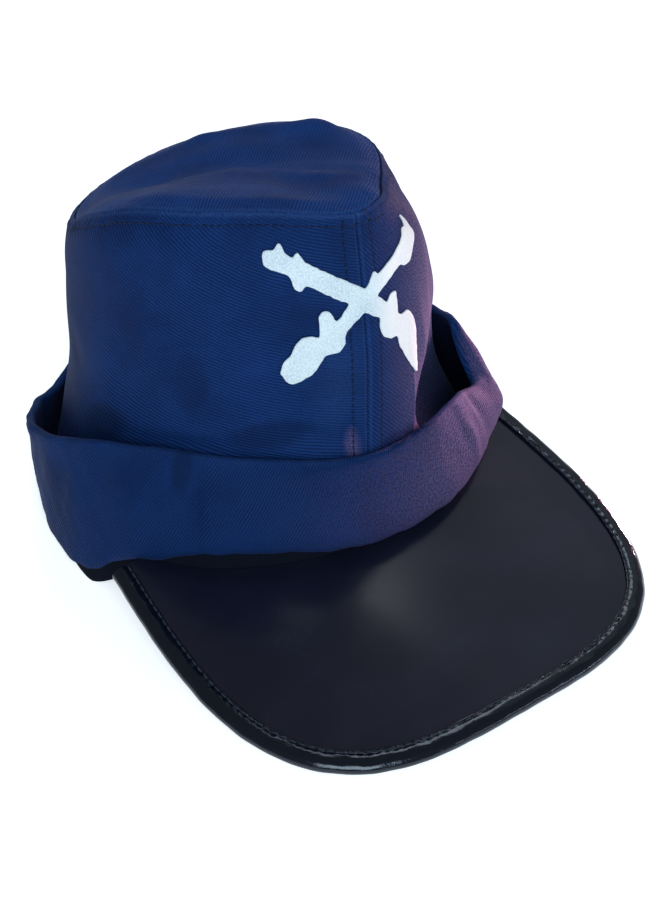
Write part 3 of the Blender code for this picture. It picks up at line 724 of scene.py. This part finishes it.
# ---- visor ---------------------------------------------------------------------------
# A wide stiff sheet of black glossy vinyl is sewn in under the rim's front.  It bows
# down to both sides and slopes to the front, where it meets the surface.
VISOR_BASE_Y = -0.4
VISOR_HALF_WIDTH = 100.7
VISOR_FLARE = 13.8
VISOR_REACH = 142.5
VISOR_SQUARENESS = 3.0
VISOR_SLOPE = math.radians(10.0)
VISOR_BOW = 0.00084           # its drop to the sides, by the square of the distance
VISOR_HEIGHT = 29.3
VISOR_SHEET = 2.0
VISOR_END_AZIMUTH = 61.5
EDGE_BUNCHING = 0.35          # points are closer together at the outline's corners
VISOR_COLUMNS = 220           # points along its outline
VISOR_ROWS = 70               # and from the band out to it
SETTLING_STEPS = 4            # the band's radius and the sheet's height depend on each other
BINDING_SKIN = 1.2


def band_outside(azimuth, height):
    """Radius of the rim band's outer face."""
    return crown_radius(azimuth, height) + SLIT + BAND_LEG


def visor_middle(plan):
    """Height of the middle of the visor's smooth sheet over points seen from above."""
    x, y = plan[..., 0], plan[..., 1]
    return VISOR_HEIGHT - (VISOR_BASE_Y - y) * math.tan(VISOR_SLOPE) - VISOR_BOW * x * x


def visor_warped(plan):
    """The same with the sheet's slight unevenness."""
    return visor_middle(plan) + 0.25 * ripple(plan[..., 0], plan[..., 1], 90.0, 31)


def visor_outline(turn):
    """Plan points of the visor's outline: turn 0 is the wearer's left end, pi the right."""
    power = 2.0 / VISOR_SQUARENESS
    c = np.sign(np.cos(turn)) * np.abs(np.cos(turn)) ** power
    s = np.abs(np.sin(turn)) ** power
    reach = VISOR_REACH * s * math.cos(VISOR_SLOPE)
    return joined(c * (VISOR_HALF_WIDTH + VISOR_FLARE * s), VISOR_BASE_Y - reach)


def visor_edge(turn, inset):
    """The outline moved in by an inset, square to itself."""
    step = 0.01
    along = unit(visor_outline(np.minimum(turn + step, math.pi))
                 - visor_outline(np.maximum(turn - step, 0.0)))
    inward = joined(along[..., 1], -along[..., 0])
    return visor_outline(turn) + np.asarray(inset)[..., None] * inward


def edge_turns(count):
    """Turns that space the points along the outline about evenly."""
    turns = np.linspace(0.0, math.pi, count)
    return turns + EDGE_BUNCHING * (math.pi * (0.5 - 0.5 * np.cos(turns)) - turns)


def visor_finish():
    """Black glossy vinyl with a fine grain, faint smears and streaks."""
    finish = Finish("visor_vinyl", {"Specular IOR Level": 0.42})
    smear = finish.noise(0.02, 3.0, (1.0, 1.6, 0.0)).between(0.35, 0.75)
    streak = finish.noise(0.25, 3.0, (0.15, 1.0, 0.0)).between(0.45, 0.8)
    grain = finish.noise(1.6, 2.0)
    dark, light = (0.005, 0.006, 0.015), (0.011, 0.013, 0.028)
    finish.wire({"Base Color": finish.mix(smear * 0.6 + grain * 0.2, dark, light),
                 "Roughness": 0.17 + smear * 0.02 + streak * 0.02})
    finish.bump(finish.noise(0.02, 1.0) + grain * 0.02, 0.1)
    return finish.material


turns = edge_turns(VISOR_COLUMNS)
azimuth = np.linspace(VISOR_END_AZIMUTH, -VISOR_END_AZIMUTH, len(turns))
radius = band_outside(azimuth, VISOR_HEIGHT)
for _ in range(SETTLING_STEPS):
    height = visor_middle(on_axis(azimuth, radius, 0.0))
    radius = band_outside(azimuth, height) + SLIT
inner_edge = on_axis(azimuth, radius, 0.0)[..., :2]
outer_edge = visor_edge(turns, np.full(len(turns), BINDING_SKIN + SLIT))
share = np.linspace(0.0, 1.0, VISOR_ROWS)[:, None, None]
plan = inner_edge[None] + (outer_edge - inner_edge)[None] * share
upper = joined(plan[..., 0], plan[..., 1], visor_warped(plan) + VISOR_SHEET / 2.0)
lower = upper - np.array([0.0, 0.0, VISOR_SHEET])
cloth = joined(plan[..., 0], plan[..., 1], 0.0)
sheet = shell("visor_sheet", upper, lower, cloth, visor_finish())
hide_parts("visor")

# ---- visor binding -------------------------------------------------------------------
# A strip of softer black vinyl is folded over the sheet's outer edge and sewn through
# near its inner edge; the thread pulls it down into small puckers.
BINDING_WIDTH = 8.0
BINDING_STITCH = 6.9          # the stitches' distance from the visor's outer edge
BINDING_PITCH = 3.7
BINDING_THREAD = 0.36         # half thickness
STITCH_SINK = 0.5             # the thread lies this far down in the soft strip
BINDING_RINGS = 420
BINDING_LOWEST = 0.15         # its front corners touch what the cap stands on


def binding_section():
    """Half section: (inset, height above the sheet's middle) from the inner edge out."""
    skin = VISOR_SHEET / 2.0 + SLIT
    top = skin + BINDING_SKIN
    return np.array([
        (BINDING_WIDTH - 0.6, skin - 0.2), (BINDING_WIDTH, skin + 0.25),
        (BINDING_WIDTH - 0.15, skin + 0.75), (BINDING_WIDTH - 0.6, top - 0.25),
        (BINDING_STITCH, top - 0.55), (6.2, top - 0.15), (5.2, top + 0.1), (4.2, top + 0.16),
        (3.2, top + 0.12), (2.3, top - 0.02), (1.5, top - 0.3), (0.85, top - 0.72),
        (0.35, top - 1.3), (0.06, top - 1.95),
    ])


def binding_finish():
    """Fine-grained glossy vinyl, creased where it turns."""
    finish = Finish("binding_vinyl", {"Specular IOR Level": 0.35, "Coat Weight": 0.3,
                                      "Specular Tint": (0.65, 0.8, 1.0),
                                      "Coat Roughness": 0.05})
    grain = finish.node("ShaderNodeTexVoronoi", {}, {"Vector": finish.cloth, "Scale": 1.5})
    crease = finish.noise(0.5, 3.0, (0.5, 1.0, 0.0))
    dark, light = (0.002, 0.003, 0.006), (0.008, 0.010, 0.018)
    colour = finish.mix(finish.wear_and_painted_light * 0.6 + crease * 0.2, dark, light)
    finish.wire({"Base Color": colour, "Roughness": 0.09 + crease * 0.06})
    finish.bump(grain * 0.3 + crease * 0.8, 0.12)
    return finish.material


half = binding_section()
section = np.concatenate([half, (half * np.array([1.0, -1.0]))[::-1]])
turns = edge_turns(BINDING_RINGS)[:, None]
walk = walked(visor_outline(turns[:, 0]))[:, None]
inset, up = (np.broadcast_to(section[None, :, i], (len(turns), len(section))) for i in (0, 1))
pull = np.cos(walk * (math.tau / BINDING_PITCH)) * hump(inset, BINDING_STITCH, 1.2)
uneven = ripple(walk, inset * 3.0, 8.0, 41) * ease(inset, 0.0, 1.5)
up = up + np.sign(up) * (0.12 * pull + 0.1 * uneven)
plan = visor_edge(np.broadcast_to(turns, inset.shape),
                  inset + 0.12 * ripple(walk, 0.0, 14.0, 42))
rings = joined(plan[..., 0], plan[..., 1], np.maximum(visor_warped(plan) + up, BINDING_LOWEST))
worn = np.clip(hump(inset, 0.6, 1.0) * (0.5 + 0.5 * ripple(walk, inset, 20.0, 43)), 0.0, 1.0)
cloth = joined(walk, walked(section)[None, :], worn)
binding = tube("visor_binding_strip", rings, cloth, binding_finish(), closed=False)
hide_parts("visor_binding")

turns = edge_turns(900)
plan = visor_edge(turns, np.full(len(turns), BINDING_STITCH))
lift = VISOR_SHEET / 2.0 + SLIT + BINDING_SKIN - STITCH_SINK
out = unit(joined(2.0 * VISOR_BOW * plan[..., 0], -math.tan(VISOR_SLOPE), 1.0))
runs = [(joined(plan[..., 0], plan[..., 1], visor_warped(plan) + face * lift), out * face)
        for face in (1.0, -1.0)]
edge_thread = thread_finish("binding_thread", (0.028, 0.034, 0.05), 0.3)
edge_stitches = stitches("binding_stitches", runs, BINDING_PITCH, BINDING_THREAD, edge_thread)

# ---- turned-up cuff ------------------------------------------------------------------
# Two layers of twill are sewn round the rim and turned up against the wall: soft folds
# above and below, tight over the front, and standing off the wall at both temples.
CUFF_CLOTH = 3.0
CUFF_RIB_PITCH = 1.15
CUFF_ABOVE_RIM = 4.0
CUFF_SCALE = 1.7              # millimetres round the cuff for each degree
CUFF_OVER_VISOR = 0.2         # the gap between its foot and the visor
CUFF_CLIMB = (40.0, 55.0)     # azimuths over which its foot climbs onto the binding,
CUFF_DOWN = (60.0, 74.0)      # and over which it comes down off the visor's ends
CUFF_PRESS = 0.5              # beyond them it is pressed into the band's soft cloth
CUFF_FULLNESS = 0.45          # the upper fold is this much fuller on each side
CUFF_TURN_STEP = 0.6          # degrees between the points round the cuff
CUFF_ROWS = 30                # rows of points up each face
FOLD_ROWS = 7                 # round the upper fold
FOOT_ROWS = 5                 # and round the lower one
CUFF_SECTIONS = (
    # azimuth, stand-off, fold height, belly, swing, crest, lift
    (-150, 3.0, 34.0, 1.6, 1.0, 0.0, 0.0),
    (-135, 4.5, 33.5, 1.6, 1.0, 0.0, 0.0),
    (-120, 10.5, 41.0, 1.2, 0.5, 0.0, -1.0),
    (-105, 15.0, 49.5, 0.0, 0.0, 0.0, -3.0),
    (-90, 13.5, 59.5, 0.0, 0.0, 0.0, -3.0),
    (-82, 11.8, 64.5, 0.4, 0.0, 0.0, -0.5),
    (-75, 9.5, 68.0, 1.0, 0.0, 0.0, 3.0),
    (-70, 7.7, 69.3, 1.8, 0.0, 0.0, 1.8),
    (-66, 6.2, 70.2, 2.5, 0.0, 0.0, -2.0),
    (-61, 4.4, 70.9, 3.3, 0.0, 0.0, -0.8),
    (-54, 3.0, 71.2, 4.1, 0.0, 0.0, 3.2),
    (-45, 2.0, 71.0, 4.6, 0.0, 0.0, 6.5),
    (-30, 0.6, 69.0, 4.8, 0.0, 0.0, 6.5),
    (-15, 0.6, 65.5, 4.8, 0.0, 0.0, 3.0),
    (0, 0.6, 61.5, 4.6, 2.0, 0.0, 0.0),
    (15, 1.6, 59.5, 4.6, 4.0, 0.0, 0.0),
    (30, 3.8, 57.0, 4.4, 4.6, 0.6, 0.0),
    (43, 6.5, 52.5, 3.6, 4.6, 3.0, 0.0),
    (50, 9.0, 47.5, 3.3, 4.8, 5.0, 0.0),
    (54, 10.5, 46.0, 3.2, 5.0, 6.0, 0.0),
    (57, 10.0, 49.5, 3.0, 5.0, 6.6, 0.0),
    (60, 9.5, 59.0, 2.4, 4.8, 5.8, 0.0),
    (63, 9.4, 68.0, 1.8, 4.0, 5.0, 0.0),
    (66, 9.0, 68.5, 1.6, 3.6, 4.2, 0.0),
    (70, 8.6, 66.0, 1.6, 3.2, 3.2, 0.0),
    (76, 8.0, 62.0, 1.6, 2.8, 2.0, 0.0),
    (85, 7.4, 60.5, 1.8, 1.9, 1.0, 0.0),
    (100, 6.5, 57.0, 2.2, 2.0, 0.4, 0.0),
    (140, 4.0, 46.0, 2.2, 1.8, 0.0, 0.0),
    (180, 3.5, 37.0, 1.6, 1.2, 0.0, 0.0),
)
CUFF_FOLDS = (
    # azimuth, height, half width, half height, lean in degrees, depth (out is more)
    (-48, 50, 3.0, 15.0, 4, -1.6),
    (-43, 48, 5.0, 16.0, 8, 1.1),
    (-56, 46, 6.0, 14.0, -6, 0.9),
    (-76, 42, 5.0, 16.0, -12, -0.7),
    (-84, 38, 4.0, 14.0, -14, 0.6),
    (-22, 44, 16.0, 5.0, 10, -0.5),
    (2, 46, 14.0, 5.0, -6, 0.4),
    (14, 42, 5.0, 9.0, 20, -0.7),
    (44, 44, 3.4, 8.0, -14, -0.8),
    (35, 40, 3.4, 12.0, -10, 0.9),
    (55, 40, 4.0, 11.0, 4, 0.3),
    (68, 40, 4.0, 14.0, 12, -1.0),
    (95, 32, 5.0, 14.0, 18, -0.9),
    (120, 28, 6.0, 14.0, -16, -0.8),
    (150, 24, 6.0, 10.0, 12, -0.8),
    (178, 22, 4.0, 12.0, 0, -0.7),
    (-160, 24, 6.0, 10.0, 14, -0.8),
    (-130, 26, 5.0, 12.0, -14, -0.8),
    (-108, 30, 5.0, 14.0, 12, -0.7),
    (-110, 56, 3.0, 14.0, 0, -1.8),
    (-103, 52, 4.0, 14.0, 0, 0.8),
)
# Painted warm light on the cuff: a purple glow at the wearer's left front.
CUFF_PAINTED_LIGHT = (
    # azimuth, height, half width, half height, lean in degrees, share
    (35, 37, 57.0, 32.0, 0, 0.64),
)
CUFF_PAINTED_SHADE = (
    # across, distance up from the lower fold, half width, half height, share of painted shade;
    # the last is the inner face, which starts past the upper fold, in the crown's painted shadow
    (-89, 43, 6.0, 15.0, 0.4),
    (-150, 26, 14.0, 22.0, 0.2),
    (0, 114, 2000.0, 46.0, 0.8),
)


def cuff_foot(azimuth):
    """Radius and height of the middle of the cuff's lower fold, against the band."""
    half = CUFF_CLOTH / 2.0
    turn = turn_from(azimuth, 0.0)
    down = ease(np.abs(turn), *CUFF_DOWN)
    height = rim_height(azimuth) + CUFF_ABOVE_RIM + half
    skin = (BINDING_SKIN + 2.0 * SLIT) * ease(turn, *CUFF_CLIMB)
    over = visor_middle(on_axis(azimuth, band_outside(azimuth, height) + half, 0.0))
    over = over + VISOR_SHEET / 2.0 + half + CUFF_OVER_VISOR + skin
    height = height + (over - height) * (1.0 - down) + around(CUFF_SECTIONS, azimuth, 6)
    height = height + 0.4 * (1.0 + ripple(turn * CUFF_SCALE, 0.0, 13.0, 57))
    radius = np.maximum(band_outside(azimuth, height - half), band_outside(azimuth, height + half))
    return radius + half - CUFF_PRESS * down, height


def cuff_line(azimuth, share):
    """Radius and height of the middle of the cuff's cloth, share of the way up."""
    foot_r, foot_z = cuff_foot(azimuth)
    stand, fold_z, belly, swing, crest = (around(CUFF_SECTIONS, azimuth, c) for c in range(1, 6))
    half = CUFF_CLOTH / 2.0
    u = from_front(azimuth, CUFF_SCALE)
    fold_z = fold_z - half + 0.5 * ripple(u, 0.0, 30.0, 51)
    fold_r = crown_radius(azimuth, fold_z) + np.maximum(stand, 0.8) + half
    fold_r = fold_r + 0.5 * ripple(u, 40.0, 34.0, 52) * ease(stand, 1.5, 6.0)
    out = belly * np.sin(math.pi * share ** 0.6)
    out = out + crest * 4.0 * share * (1.0 - share)
    out = out + swing * (1.0 - share) * ease(share, 0.0, 0.06)
    return foot_r + (fold_r - foot_r) * share + out, foot_z + (fold_z - foot_z) * share


ring = np.arange(-180.0, 180.0, CUFF_TURN_STEP)[:, None]
share = np.linspace(0.0, 1.0, CUFF_ROWS)[None, :]
step = 0.01
low, middle, high = (joined(*cuff_line(ring, np.clip(share + move, 0.0, 1.0)))
                     for move in (-step, 0.0, step))
height = middle[..., 1]
slope = unit(high - low)
outward = joined(slope[..., 1], -slope[..., 0])
thick = CUFF_CLOTH / 2.0 + CUFF_FULLNESS * ease(share, 0.82, 1.0)[..., None]
u = from_front(ring, CUFF_SCALE)
wrinkle = folds(CUFF_FOLDS, ring, height, CUFF_SCALE) * ease(share, 0.02, 0.2)
wrinkle = wrinkle + 0.22 * ripple(u, height, 24.0, 53) + 0.1 * ripple(u, height * 1.5, 9.0, 54)
middle = middle + outward * wrinkle[..., None] * 0.75
outer = middle + outward * (thick + 0.25 * wrinkle[..., None])
inner = (middle - outward * thick)[:, ::-1]


def fold_round(centre, start, direction, count):
    """Points that turn half round a fold, from the start side over to the other."""
    spoke = start - centre
    points = []
    for angle in np.linspace(0.0, math.pi, count + 2)[1:-1]:
        size = np.linalg.norm(spoke, axis=-1, keepdims=True)
        points.append(centre + spoke * math.cos(angle) + direction * size * math.sin(angle))
    return np.stack(points, 1)


upper_fold = fold_round(middle[:, -1], outer[:, -1], slope[:, -1], FOLD_ROWS)
lower_fold = fold_round(middle[:, 0], inner[:, -1], -slope[:, 0], FOOT_ROWS)
section = np.concatenate([outer, upper_fold, inner, lower_fold], axis=1)
rings = on_axis(np.broadcast_to(ring, section.shape[:2]), section[..., 0], section[..., 1])
row = np.arange(section.shape[1])[None, :]
worn = 0.75 * hump(row, CUFF_ROWS + FOLD_ROWS // 2, 3.0) * (0.7 + 0.3 * ripple(u, 0.0, 12.0, 55))
# Painted warm light goes on the outer face, over the upper fold and just inside it.
painted_light_rows = row < CUFF_ROWS + FOLD_ROWS + 2
worn = worn - folds(CUFF_PAINTED_LIGHT, ring, section[..., 1], CUFF_SCALE) * painted_light_rows
cloth = joined(u, walked(section), np.clip(worn, -1.0, 1.0))
# The cuff's twill is painted darker, 0.9 times, as painted shade, and its spots are painted shade.
cuff_twill = twill("cuff_twill", 60.0, 0.02, CUFF_RIB_PITCH, 0.9, 0.35, CUFF_PAINTED_SHADE)
cuff = tube("turned_up_cuff_cloth", rings, cloth, cuff_twill, closed=True)
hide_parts("turned_up_cuff")

# ---- crossed muskets -----------------------------------------------------------------
# One piece of thick white cloth, cut by hand as two crossed muskets, is fixed flat over
# the front seam.  The wearer's left half sits a little crooked.
PATCH_CLOTH = 0.68
PATCH_CENTRE_HEIGHT = 130.5
MUSKETS = (
    # outlines across and up from the crossing, clockwise from the muzzle
    ((-37.6, 28.6), (-33.6, 28.3), (-31.4, 31.4), (-29.6, 26.4), (-27.4, 24.4), (-25.2, 26.8),
     (-23.2, 21.8), (0.0, 5.0), (8.4, -2.6), (10.2, -5.2), (12.2, -2.0), (15.3, -1.4),
     (15.9, -12.4), (18.6, -13.6), (21.8, -12.8), (25.0, -16.8), (27.9, -23.8), (29.0, -45.6),
     (26.4, -44.0), (17.0, -27.4), (15.4, -21.4), (11.6, -21.4), (7.6, -18.6), (6.2, -14.1),
     (6.7, -10.0), (3.4, -8.2), (0.0, -5.4), (-6.8, 0.6), (-12.5, 4.3), (-23.4, 12.8),
     (-25.2, 10.0), (-27.8, 11.4), (-29.0, 17.4), (-31.6, 18.8), (-38.2, 22.2)),
    ((26.4, 24.8), (28.0, 22.6), (27.9, 19.2), (29.3, 15.6), (27.4, 12.0), (23.6, 6.6),
     (20.4, 6.2), (17.6, 8.4), (5.8, 0.0), (0.0, -4.8), (-9.2, -11.0), (-9.4, -15.8),
     (-12.2, -19.0), (-18.0, -18.6), (-22.6, -25.4), (-29.3, -28.4), (-33.4, -28.4),
     (-36.4, -23.4), (-34.7, -18.8), (-31.4, -16.6), (-29.4, -12.2), (-26.6, -9.6),
     (-22.6, -9.4), (-19.3, -11.4), (-19.6, -1.4), (-17.8, 0.5), (-15.0, -0.3), (-12.4, -6.2),
     (-7.0, 0.4), (1.8, 4.9), (5.0, 10.6), (6.8, 8.0), (20.2, 17.0), (22.8, 20.8), (25.0, 20.2)),
)
PATCH_EDGE = (
    # inset from the cut edge, lift above the wall
    (0.05, 0.0),
    (0.0, 0.3),
    (0.1, 0.5),
    (0.4, 0.65),
)
PATCH_STEP = 0.8              # between the points round its edge
FILL_STEP = 2.0               # and over its face


def soften(loop, share):
    """Cuts the corners off a closed outline."""
    side = np.roll(loop, -1, axis=0) - loop
    return np.stack([loop + side * share, loop + side * (1.0 - share)], axis=1).reshape(-1, 2)


def walk_round(loop, step):
    """Points at even steps round a closed outline."""
    closed = np.concatenate([loop, loop[:1]])
    reach = walked(closed)
    at = np.linspace(0.0, reach[-1], int(reach[-1] / step) + 1)[:-1]
    return joined(*(np.interp(at, reach, closed[:, i]) for i in (0, 1)))


def outer_loop(loops):
    """The outline round several outlines that cross."""
    flat, edges = [], []
    for loop in loops:
        edges.append(list(range(len(flat), len(flat) + len(loop))))
        flat += [Vector(p) for p in loop]
    spots, _, faces, _, _, _ = delaunay_2d_cdt(flat, [], edges, 1, 1e-5)
    sides = {(f[i], f[(i + 1) % len(f)]) for f in faces for i in range(len(f))}
    following = {a: b for a, b in sides if (b, a) not in sides}
    loop = [min(following)]
    while following[loop[-1]] != loop[0]:
        loop.append(following[loop[-1]])
    return np.array([spots[i] for i in loop])


def patch_point(flat, lift):
    """Flat points laid on the front of the crown, lift above its face."""
    across, up = flat[:, 0], flat[:, 1]
    height = np.full(len(flat), PATCH_CENTRE_HEIGHT)
    steps = 12
    for _ in range(steps):
        azimuth = np.degrees(across / crown_radius(0.0, height))
        rise = crown_radius(azimuth, height + 0.5) - crown_radius(azimuth, height - 0.5)
        height = height + up / steps / np.sqrt(1.0 + rise ** 2)
    azimuth = np.degrees(across / crown_radius(0.0, height))
    out = wall_run(azimuth, height)[1]
    radius = wall_radius(azimuth, height, sewn=False) + ALLOWANCE_LIFT
    return on_axis(azimuth, radius, height) + out * np.asarray(lift)[:, None]


def applique_finish():
    """Thick matt white cloth, its plain weave just showing."""
    finish = Finish("applique_cloth", {"Sheen Weight": 0.15, "Sheen Roughness": 0.5,
                                       "Specular IOR Level": 0.3})
    weave = finish.weave(0.9)
    fuzz = finish.noise(1.2, 3.0)
    stain = finish.noise(0.07, 3.0)
    white, shade = (0.65, 0.76, 0.81), (0.42, 0.51, 0.60)
    grey = weave * 0.3 + fuzz * 1.8 + stain * 1.0 - 1.2
    colour = finish.mix(grey.between(0.0, 1.0), white, shade)
    colour = finish.mix(finish.wear_and_painted_light * 0.6, colour, (0.42, 0.5, 0.62))
    # Painted warm light: the half at the wearer's left is tinted pink.
    colour = finish.mix(finish.wear_and_painted_light * (fuzz * -1.6), colour, (0.95, 0.86, 0.86))
    finish.wire({"Base Color": colour, "Roughness": 0.85 - weave * 0.1})
    finish.bump(weave * 0.6 + fuzz, 0.12)
    return finish.material


muskets = [soften(soften(np.array(m), 0.12), 0.3) for m in MUSKETS]
rough_cut = walk_round(outer_loop(muskets), PATCH_STEP)
loop = walk_round(soften(rough_cut, 0.25), PATCH_STEP)
ahead = np.roll(loop, -1, axis=0)
along = unit(ahead - np.roll(loop, 1, axis=0))
area = 0.5 * np.sum(loop[:, 0] * ahead[:, 1] - ahead[:, 0] * loop[:, 1])
inward = joined(-along[:, 1], along[:, 0]) * math.copysign(1.0, area)
count = len(loop)
frayed = 0.12 * ripple(np.arange(count) * PATCH_STEP, 0.0, 3.0, 61)[:, None]
edges = [loop + inward * (inset + frayed) for inset, _ in PATCH_EDGE]
lifts = [np.full(count, lift) for _, lift in PATCH_EDGE]
inside = edges[-1]
low, high = inside.min(0), inside.max(0)
fill = [Vector((x, y)) for x in np.arange(low[0], high[0], FILL_STEP)
        for y in np.arange(low[1], high[1], FILL_STEP)]
cut = [Vector(p) for p in inside]
spots, _, faces, origins, _, _ = delaunay_2d_cdt(cut + fill, [], [list(range(count))], 1, 1e-5)

# The points of the mesh: a ring for each edge step, the fill, and the face below.
face_start = (len(PATCH_EDGE) - 1) * count
place = {}
extra = []
for i in sorted({i for f in faces for i in f}):
    source = [o for o in origins[i] if o < count]
    place[i] = face_start + source[0] if source else len(PATCH_EDGE) * count + len(extra)
    if not source:
        extra.append(i)
flat = np.concatenate(edges + [np.array([spots[i] for i in extra]).reshape(-1, 2)])
lift = np.concatenate(lifts + [np.full(len(extra), PATCH_CLOTH)])
below = {i: i - face_start if i < face_start + count else len(flat) + i - face_start
         for i in range(face_start, len(flat))}
mesh_faces = [[place[i] for i in f] for f in faces]
mesh_faces += [[below[place[i]] for i in reversed(f)] for f in faces]
for start in range(0, face_start, count):
    for i in range(count):
        here, following = start + i, start + (i + 1) % count
        mesh_faces.append((here, following, following + count, here + count))
under = flat[face_start:]
points = np.concatenate([patch_point(flat, lift), patch_point(under, np.zeros(len(under)))])
# The edge rings are rubbed grey; values below 0 paint pink light on the half at the wearer's left.
wear_and_painted_light = np.where(np.arange(len(flat)) < 2 * count, 0.4, -ease(flat[:, 0], 0.0, 16.0))
cloth = joined(flat[:, 0], flat[:, 1], wear_and_painted_light)
cloth = np.concatenate([cloth, cloth[face_start:]])
patch = add("crossed_muskets_patch", points, mesh_faces, cloth, applique_finish())
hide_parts("crossed_muskets")

# ---- floor, light and camera ---------------------------------------------------------
# A plain pale floor under soft cool windows, a low strip that glints along the visor's
# edge and a small warm lamp at the wearer's left.  The camera stands where the photo's did.
bpy.ops.mesh.primitive_plane_add(size=100.0)
floor = bpy.context.object
floor.name = "pale_floor"
paper = Finish("pale_paper", {"Specular IOR Level": 0.0, "Roughness": 0.9,
                              "Emission Color": (0.9, 0.95, 1.0), "Emission Strength": 0.62})
paper.wire({"Base Color": (0.95, 0.95, 0.96)})
floor.data.materials.append(paper.material)
floor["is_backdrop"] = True

world = bpy.data.worlds.new("studio")
bpy.context.scene.world = world
world.use_nodes = True
world.node_tree.nodes["Background"].inputs["Color"].default_value = (0.82, 0.88, 1.0, 1.0)
world.node_tree.nodes["Background"].inputs["Strength"].default_value = 0.23

LAMPS = (
    # name, place, width, height, spread in degrees, power, colour
    ("front_window", (-0.95, -1.58, 1.3), 1.2, 1.2, 180.0, 32.0, (0.84, 0.95, 1.0)),
    ("back_window", (0.75, 1.15, 1.7), 1.0, 1.0, 180.0, 10.0, (0.86, 0.93, 1.0)),
    ("low_strip", (0.62, -1.0, 0.3), 0.9, 0.035, 180.0, 1.3, (0.8, 0.92, 1.0)),
    ("side_window", (1.35, 0.75, 1.6), 1.3, 1.3, 180.0, 1.3, (0.82, 0.9, 1.0)),
    ("warm_lamp", (1.27, 0.36, 0.03), 0.25, 0.05, 9.0, 0.2, (1.0, 0.45, 0.6)),
)
LAMP_AIM = Vector((0.0, 0.0, 0.06))
for name, place, width, height, spread, power, colour in LAMPS:
    lamp = bpy.data.lights.new(name, "AREA")
    lamp.shape = "RECTANGLE"
    lamp.size, lamp.size_y = width, height
    lamp.spread = math.radians(spread)
    lamp.energy = power
    lamp.color = colour
    holder = bpy.data.objects.new(name, lamp)
    holder.location = place
    holder.rotation_mode = "QUATERNION"
    holder.rotation_quaternion = (LAMP_AIM - holder.location).to_track_quat("-Z", "Y")
    bpy.context.scene.collection.objects.link(holder)

CAMERA_AZIMUTH = math.radians(37.0)
CAMERA_ELEVATION = math.radians(39.4)
CAMERA_ROLL = math.radians(0.8)
CAMERA_DISTANCE = 0.722
CAMERA_AIM = Vector((0.0, -0.0004, 0.029))
FOCAL_PIXELS = 1700.0
IMAGE_HEIGHT = 900.0
AIM_PIXEL = (15.0, 18.0)      # the image's middle lies this far right of and above the aim
SENSOR = 36.0
sin_a, cos_a = math.sin(CAMERA_AZIMUTH), math.cos(CAMERA_AZIMUTH)
sin_e, cos_e = math.sin(CAMERA_ELEVATION), math.cos(CAMERA_ELEVATION)
level = Vector((cos_a, -sin_a, 0.0))
upright = Vector((sin_e * sin_a, sin_e * cos_a, cos_e))
back = Vector((-sin_a * cos_e, -cos_a * cos_e, sin_e))
right = level * math.cos(CAMERA_ROLL) + upright * math.sin(CAMERA_ROLL)
above = upright * math.cos(CAMERA_ROLL) - level * math.sin(CAMERA_ROLL)
view = bpy.data.cameras.new("camera")
view.sensor_width = SENSOR
view.lens = SENSOR * FOCAL_PIXELS / IMAGE_HEIGHT
view.shift_x, view.shift_y = (p / IMAGE_HEIGHT for p in AIM_PIXEL)
view.clip_start = 0.01
camera = bpy.data.objects.new("camera", view)
turned = Matrix((right, above, back)).transposed().to_4x4()
turned.translation = CAMERA_AIM + back * CAMERA_DISTANCE
camera.matrix_world = turned
bpy.context.scene.collection.objects.link(camera)
bpy.context.scene.camera = camera
bpy.context.scene.view_settings.view_transform = "Standard"

low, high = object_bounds()
